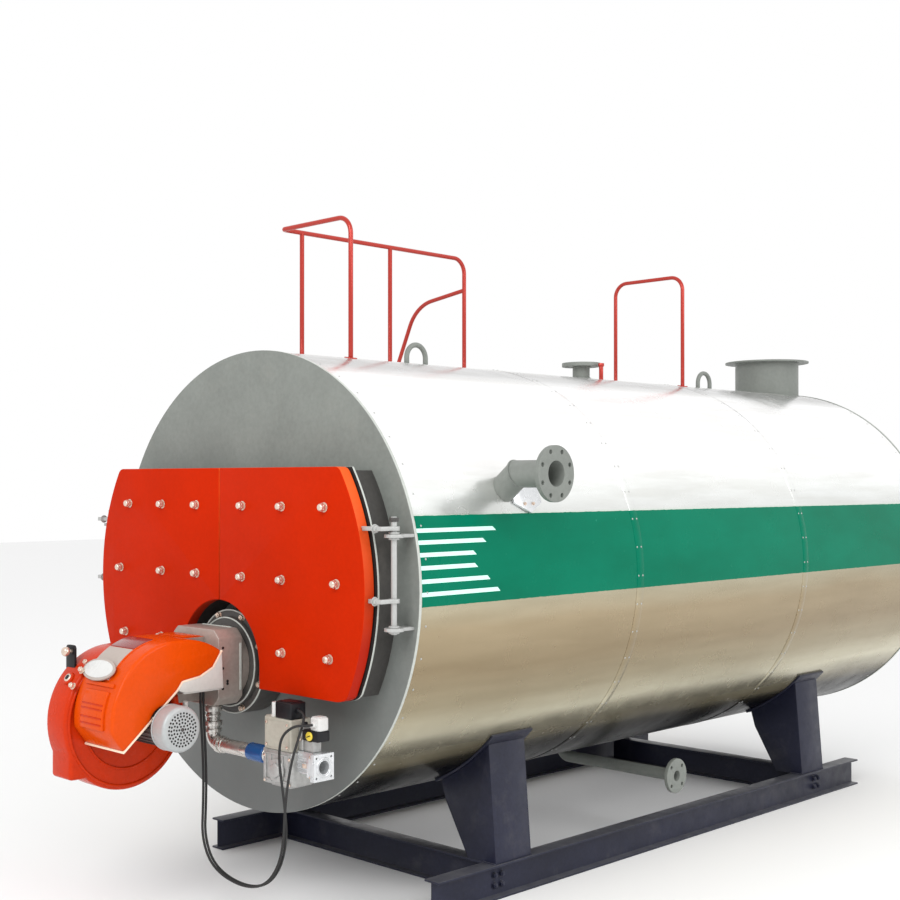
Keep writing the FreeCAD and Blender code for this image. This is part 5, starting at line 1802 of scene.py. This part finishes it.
@dataclass
class Nozzles:
    """The side, steam, flue and drain connections and the lifting eyes.

    Attributes:
        datum: where the shell lies.
        weld: the radius of a weld bead.
        pad: the half width of the plate beside the side nozzle's root, before it is stretched.
        pad_turn: where it lies round the shell from the horizontal, in degrees.
        pad_shift: how much lower and how much further back its centre lies, in degrees and metres.
        pad_stretch: its scale along the shell and round it.
        pad_screw: the radius of its screws.
        pitch: the rise of the side nozzle's root, in degrees.
        stub: the height and radius of the short plugged pipe on the crown.
    """

    datum: Datum
    weld: float = 0.005
    pad: float = 0.105
    pad_turn: float = 23.0
    pad_shift: tuple[float, float] = (0.6, 0.112)
    pad_stretch: tuple[float, float] = (0.95, 0.84)
    pad_screw: float = 0.006
    pitch: float = 40.0
    stub: tuple[float, float] = (0.088, 0.011)

    def build(self) -> None:
        """Builds and dresses the nozzles."""
        for node in ("side_nozzle", "steam_nozzle", "chimney", "drain_pipe"):
            skin = refine(node, node + "_skin", 0.0025, 3)
            PLATE_GREY.dress(skin, BODY, node)
        PLATE_GREY.dress(refine("lifting_lugs", "lifting_lugs_skin", 0.001), BODY, "lifting_lugs")
        self.side_root()
        self.welds()
        self.lug_pads()
        self.crown_stub()

    def side_root(self) -> None:
        """Fits the bright plate beside the side nozzle's root, with two screws and a mitre bead."""
        low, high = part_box("side_nozzle")
        y = (low.y + high.y) / 2
        behind = y - self.datum.front
        turn = math.radians(self.pad_turn)
        out = Vector((math.cos(turn), 0, math.sin(turn)))
        up = Vector((-math.sin(turn), 0, math.cos(turn)))
        lower, further = self.pad_shift
        centre = self.datum.on_shell(self.pad_turn - lower, behind + further, -0.003)
        plate = disc("side_root_plate", self.pad, 0.010, Matrix(), 6)
        soften(plate, 0.002, 2)
        plate.data.transform(Matrix.Diagonal((*self.pad_stretch, 1, 1)))
        frame = Matrix((Vector((0, 1, 0)), up, Vector((0, 1, 0)).cross(up))).transposed().to_4x4()
        if Vector((0, 1, 0)).cross(up).dot(out) < 0:
            frame = Matrix((Vector((0, -1, 0)), up, out)).transposed().to_4x4()
        plate.data.transform(Matrix.Translation(centre) @ frame)
        BRIGHT_ALLOY.dress(plate)
        places = []
        for step in (4, 5):
            around = math.pi * step / 3
            spot = centre + out * 0.010 + Vector((0, 1, 0)) * math.cos(around) * self.pad * 0.5 \
                + up * math.sin(around) * self.pad * 0.55
            places.append(facing(spot, out))
        NUT_STEEL.dress(repeat("side_root_screws", nut(self.pad_screw, 0.006), places))
        radius = 0.054
        slope = math.radians(self.pitch)
        knee = Vector((high.x - 0.193, y, (low.z + high.z) / 2))
        knee.z = high.z - 0.110
        mitre = Vector((math.cos(slope / 2), 0, math.sin(slope / 2)))
        bead = ring("side_mitre_weld", radius / math.cos(slope / 2) - 0.001, self.weld * 0.7,
                    facing(knee, mitre), 64)
        PLATE_GREY.dress(bead)
        neck = ring("side_flange_weld", radius + 0.001, self.weld,
                    facing((high.x - 0.021, y, knee.z), (1, 0, 0)), 64)
        PLATE_GREY.dress(neck)
        spot = facing((high.x - 0.0014, y, knee.z), (1, 0, 0))
        rims = [ring("rim", 0.0735, 0.0013, spot, 72), ring("rim", 0.0600, 0.0010, spot, 72)]
        # The two thin dark rings on the flange's face are painted shadow lines round its raised face.
        DEEP_GREY_AND_SHADE.dress(join("side_face_shadow_lines", rims))

    def welds(self) -> None:
        """Lays beads where the steam, flue and drain pipes meet the casing and their flanges."""
        beads = []
        low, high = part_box("steam_nozzle")
        middle = (low + high) / 2
        beads.append(ring("bead", 0.0455, self.weld, facing((middle.x, middle.y, high.z - 0.021)), 48))
        beads.append(ring("bead", 0.0460, self.weld * 1.2,
                          facing((middle.x, middle.y, self.datum.at(0, 0, 0.948).z)), 48))
        low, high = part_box("chimney")
        middle = (low + high) / 2
        pipe = 0.188
        beads.append(ring("bead", pipe + 0.001, self.weld, facing((middle.x, middle.y, high.z - 0.011)), 96))
        reach = self.datum.radius - 0.003
        path = []
        for step in range(96):
            turn = 2 * math.pi * step / 96
            x, y = pipe * math.cos(turn), pipe * math.sin(turn)
            path.append(Vector((x, middle.y + y, self.datum.axis + math.sqrt(reach ** 2 - x ** 2))))
        beads.append(self.closed_bead(path, self.weld * 1.2))
        low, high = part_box("drain_pipe")
        beads.append(ring("bead", 0.0295, self.weld, facing((high.x - 0.019, (low.y + high.y) / 2,
                                                              self.datum.at(0, 0, -1.008).z), (1, 0, 0)), 48))
        PLATE_GREY.dress(join("nozzle_welds", beads))

    def closed_bead(self, path: Sequence[Vector], radius: float) -> bpy.types.Object:
        """A round bead along a closed path.

        Args:
            path: the points.
            radius: the bead's radius.

        Returns:
            The bead, as a mesh.
        """
        data = bpy.data.curves.new("bead", "CURVE")
        data.dimensions, data.bevel_depth, data.bevel_resolution = "3D", radius, 2
        spline = data.splines.new("POLY")
        spline.points.add(len(path) - 1)
        for point, spot in zip(spline.points, path):
            point.co = (*spot, 1.0)
        spline.use_cyclic_u = True
        curve = bpy.data.objects.new("bead", data)
        bpy.context.scene.collection.objects.link(curve)
        pick(curve)
        bpy.ops.object.convert(target="MESH")
        return bpy.context.object

    def lug_pads(self) -> None:
        """Welds a small pad under each foot of the lifting eyes."""
        low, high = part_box("lifting_lugs")
        pads = []
        for y in (low.y + 0.012, low.y + 0.137, high.y - 0.137, high.y - 0.012):
            pads.append(disc("pad", 0.024, 0.006, facing((0, y, self.datum.at(0, 0, 0.945).z)), 32, 0.002))
        PLATE_GREY.dress(join("lug_pads", pads))

    def crown_stub(self) -> None:
        """Adds the short plugged pipe beside the steam nozzle."""
        steam_low, steam_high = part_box("steam_nozzle")
        x, y = 0.128, (steam_low.y + steam_high.y) / 2
        height, radius = self.stub
        foot = self.datum.axis + math.sqrt((self.datum.radius - 0.003) ** 2 - x ** 2) - 0.004
        pipe = disc("stub", radius, height, Matrix.Translation((x, y, foot)), 32, 0.002)
        head = disc("stub", radius * 1.45, height * 0.2, Matrix.Translation((x, y, foot + height * 0.8)), 6,
                    0.002)
        RAIL_RED.dress(join("crown_stub", [pipe, head]))


@dataclass
class Rails:
    """The guard rails on the crown and the ladder down the left side.

    Attributes:
        datum: where the shell lies.
        tube: the rails' radius.
        foot: the radius of a post's foot plate.
    """

    datum: Datum
    tube: float = 0.0105
    foot: float = 0.028

    def build(self) -> None:
        """Builds and dresses the rails."""
        for node in ("guard_rail_front", "guard_rail_rear", "ladder"):
            skin = refine(node, node + "_skin", 0.0006)
            RAIL_RED.dress(skin, BODY, node)
        self.feet()
        self.rung_welds()

    def feet(self) -> None:
        """Sets a round plate under each post."""
        front_low, front_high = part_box("guard_rail_front")
        rear_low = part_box("guard_rail_rear")[0]
        right, left = front_high.x - self.tube, front_low.x + self.tube
        spots = [(right, front_low.y + self.tube), (left, front_low.y + 0.117 + self.tube),
                 (left, front_low.y + 0.687 + self.tube), (left, front_high.y - self.tube),
                 (right, rear_low.y + self.tube), (left, rear_low.y + self.tube)]
        reach = self.datum.radius - 0.003
        plates = []
        for x, y in spots:
            out = Vector((x, 0, math.sqrt(reach ** 2 - x ** 2)))
            point = Vector((x, y, self.datum.axis + out.z)) - out.normalized() * 0.003
            plates.append(disc("foot", self.foot, 0.007, facing(point, out), 32, 0.002))
        RAIL_RED.dress(join("rail_feet", plates))

    def rung_welds(self) -> None:
        """Lays a bead where each rung meets its stringers."""
        low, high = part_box("ladder")
        beads = []
        x = low.x + self.tube
        for step in range(6):
            z = 0.3 * (step + 1)
            for y, side in ((low.y + 2 * self.tube, 1), (high.y - 2 * self.tube, -1)):
                beads.append(ring("bead", 0.0083, 0.0016, facing((x, y + side * 0.0005, z), (0, 1, 0)), 24))
        RAIL_RED.dress(join("rung_welds", beads))


# ---------------------------------------------------------------- cables


@dataclass
class Cables:
    """The two cables that loop under the gas train to the switch and the solenoid.

    Attributes:
        datum: where the shell lies.
        radius: a cable's radius.
        loop: the shared loop, as (across, up) from the shell's axis.
        switch: the distance behind the front plate of the switch cable's loop.
        switch_rise: its own way up, as (across, behind, up).
        solenoid: the same distance for the solenoid cable.
        solenoid_rise: its own way up.
    """

    datum: Datum
    radius: float = 0.005
    loop: tuple[tuple[float, float], ...] = (
        (0.093, -0.394), (0.093, -0.480), (0.105, -0.610), (0.113, -0.745), (0.110, -0.870), (0.103, -0.975),
        (0.149, -1.068), (0.250, -1.112), (0.385, -1.121), (0.495, -1.086), (0.566, -1.003), (0.595, -0.900))
    switch: float = -0.330
    switch_rise: tuple[tuple[float, float, float], ...] = (
        (0.585, -0.330, -0.795), (0.556, -0.322, -0.700), (0.537, -0.320, -0.610), (0.548, -0.318, -0.532),
        (0.604, -0.303, -0.488), (0.640, -0.276, -0.488), (0.640, -0.235, -0.488))
    solenoid: float = -0.344
    solenoid_rise: tuple[tuple[float, float, float], ...] = (
        (0.600, -0.344, -0.795), (0.608, -0.338, -0.700), (0.614, -0.322, -0.610), (0.616, -0.292, -0.535),
        (0.604, -0.255, -0.478), (0.580, -0.234, -0.450), (0.543, -0.232, -0.448))

    def build(self) -> None:
        """Builds and dresses both cables."""
        self.cable("switch_cable", self.switch, self.switch_rise)
        self.cable("solenoid_cable", self.solenoid, self.solenoid_rise)
        self.sleeve()

    def cable(self, node: str, behind: float, rise: tuple[tuple[float, float, float], ...]) -> None:
        """Builds one cable along its route.

        Args:
            node: the cable's node.
            behind: where its loop lies behind the front plate.
            rise: its own way up.
        """
        route = [self.datum.at(x, behind, z) for x, z in self.loop]
        route += [self.datum.at(*point) for point in rise]
        line = sweep(node + "_line", route, self.radius)
        CABLE_BLACK.dress(line, BODY, node)

    def sleeve(self) -> None:
        """Adds the black gland that the cables leave the bracket panel by."""
        first = self.datum.at(self.loop[0][0], (self.switch + self.solenoid) / 2, self.loop[0][1])
        shell = block("cable_gland", first + Vector((-0.016, -0.020, 0.000)),
                      first + Vector((0.016, 0.020, 0.012)))
        BLACK_CASE.dress(soften(shell, 0.004, 3))


# ---------------------------------------------------------------- studio


@dataclass
class Studio:
    """Floor, lights and camera.

    Attributes:
        eye: the camera's place.
        heading: its turn from +Y towards -X, in degrees.
        pitch: its rise above level, in degrees.
        lens: its focal length on a 36 mm sensor.
        shift: how far the picture is shifted, as shares of its width.
    """

    eye: tuple[float, float, float] = (4.394, -4.344, 1.720)
    heading: float = 46.6
    pitch: float = 0.25
    lens: float = 54.72
    shift: tuple[float, float] = (0.111, 0.0278)

    def camera(self) -> None:
        """Adds the camera."""
        data = bpy.data.cameras.new("camera")
        data.lens, data.sensor_width = self.lens, 36.0
        data.shift_x, data.shift_y = self.shift
        data.clip_end = 200.0
        camera = bpy.data.objects.new("camera", data)
        camera.location = self.eye
        camera.rotation_euler = (math.radians(90 + self.pitch), 0.0, math.radians(self.heading))
        bpy.context.scene.collection.objects.link(camera)
        bpy.context.scene.camera = camera

    def floor(self) -> None:
        """Adds a plain pale floor."""
        bpy.ops.mesh.primitive_plane_add(size=60, location=(0, 1.6, 0))
        plane = bpy.context.object
        plane.name = "floor"
        graph = Graph("floor_pale")
        graph.wire((0.90, 0.90, 0.90, 1.0), graph.shader.inputs["Base Color"])
        graph.wire(0.1, graph.shader.inputs["Specular IOR Level"])
        graph.wire(0.9, graph.shader.inputs["Roughness"])
        plane.data.materials.append(graph.material)

    def lamp(self, name: str, place: Sequence[float], size: float, power: float,
             target: Sequence[float]) -> None:
        """Adds one soft square light.

        Args:
            name: its name.
            place: where it hangs.
            size: its side.
            power: its power, in watts.
            target: what it points at.
        """
        data = bpy.data.lights.new(name, "AREA")
        data.shape, data.size, data.energy = "SQUARE", size, power
        lamp = bpy.data.objects.new(name, data)
        lamp.location = place
        lamp.rotation_euler = (Vector(target) - Vector(place)).to_track_quat("-Z", "Y").to_euler()
        bpy.context.scene.collection.objects.link(lamp)

    def world(self) -> None:
        """Lights the scene with an even, nearly white sky."""
        world = bpy.data.worlds.new("sky")
        world.use_nodes = True
        background = world.node_tree.nodes["Background"]
        background.inputs[0].default_value = (1.0, 1.0, 1.0, 1.0)
        background.inputs[1].default_value = 1.0
        bpy.context.scene.world = world
        bpy.context.scene.view_settings.view_transform = "Standard"

    def build(self) -> None:
        """Builds the studio."""
        self.world()
        self.floor()
        self.lamp("key", (3.0, -7.0, 6.0), 4.0, 330.0, (0.0, 1.0, 1.2))
        self.lamp("side", (8.0, 2.0, 5.0), 5.0, 260.0, (0.0, 1.5, 1.3))
        self.camera()


def main() -> None:
    """Builds everything in order."""
    logging.basicConfig(level=logging.INFO, format="%(message)s")
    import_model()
    datum = Datum()
    for piece in (Skid, Shell, SmokeBox, Doors, Burner, GasTrain, Nozzles, Rails, Cables):
        log.info("building %s", piece.__name__)
        piece(datum).build()
    Studio().build()


if __name__ == "__main__":
    main()
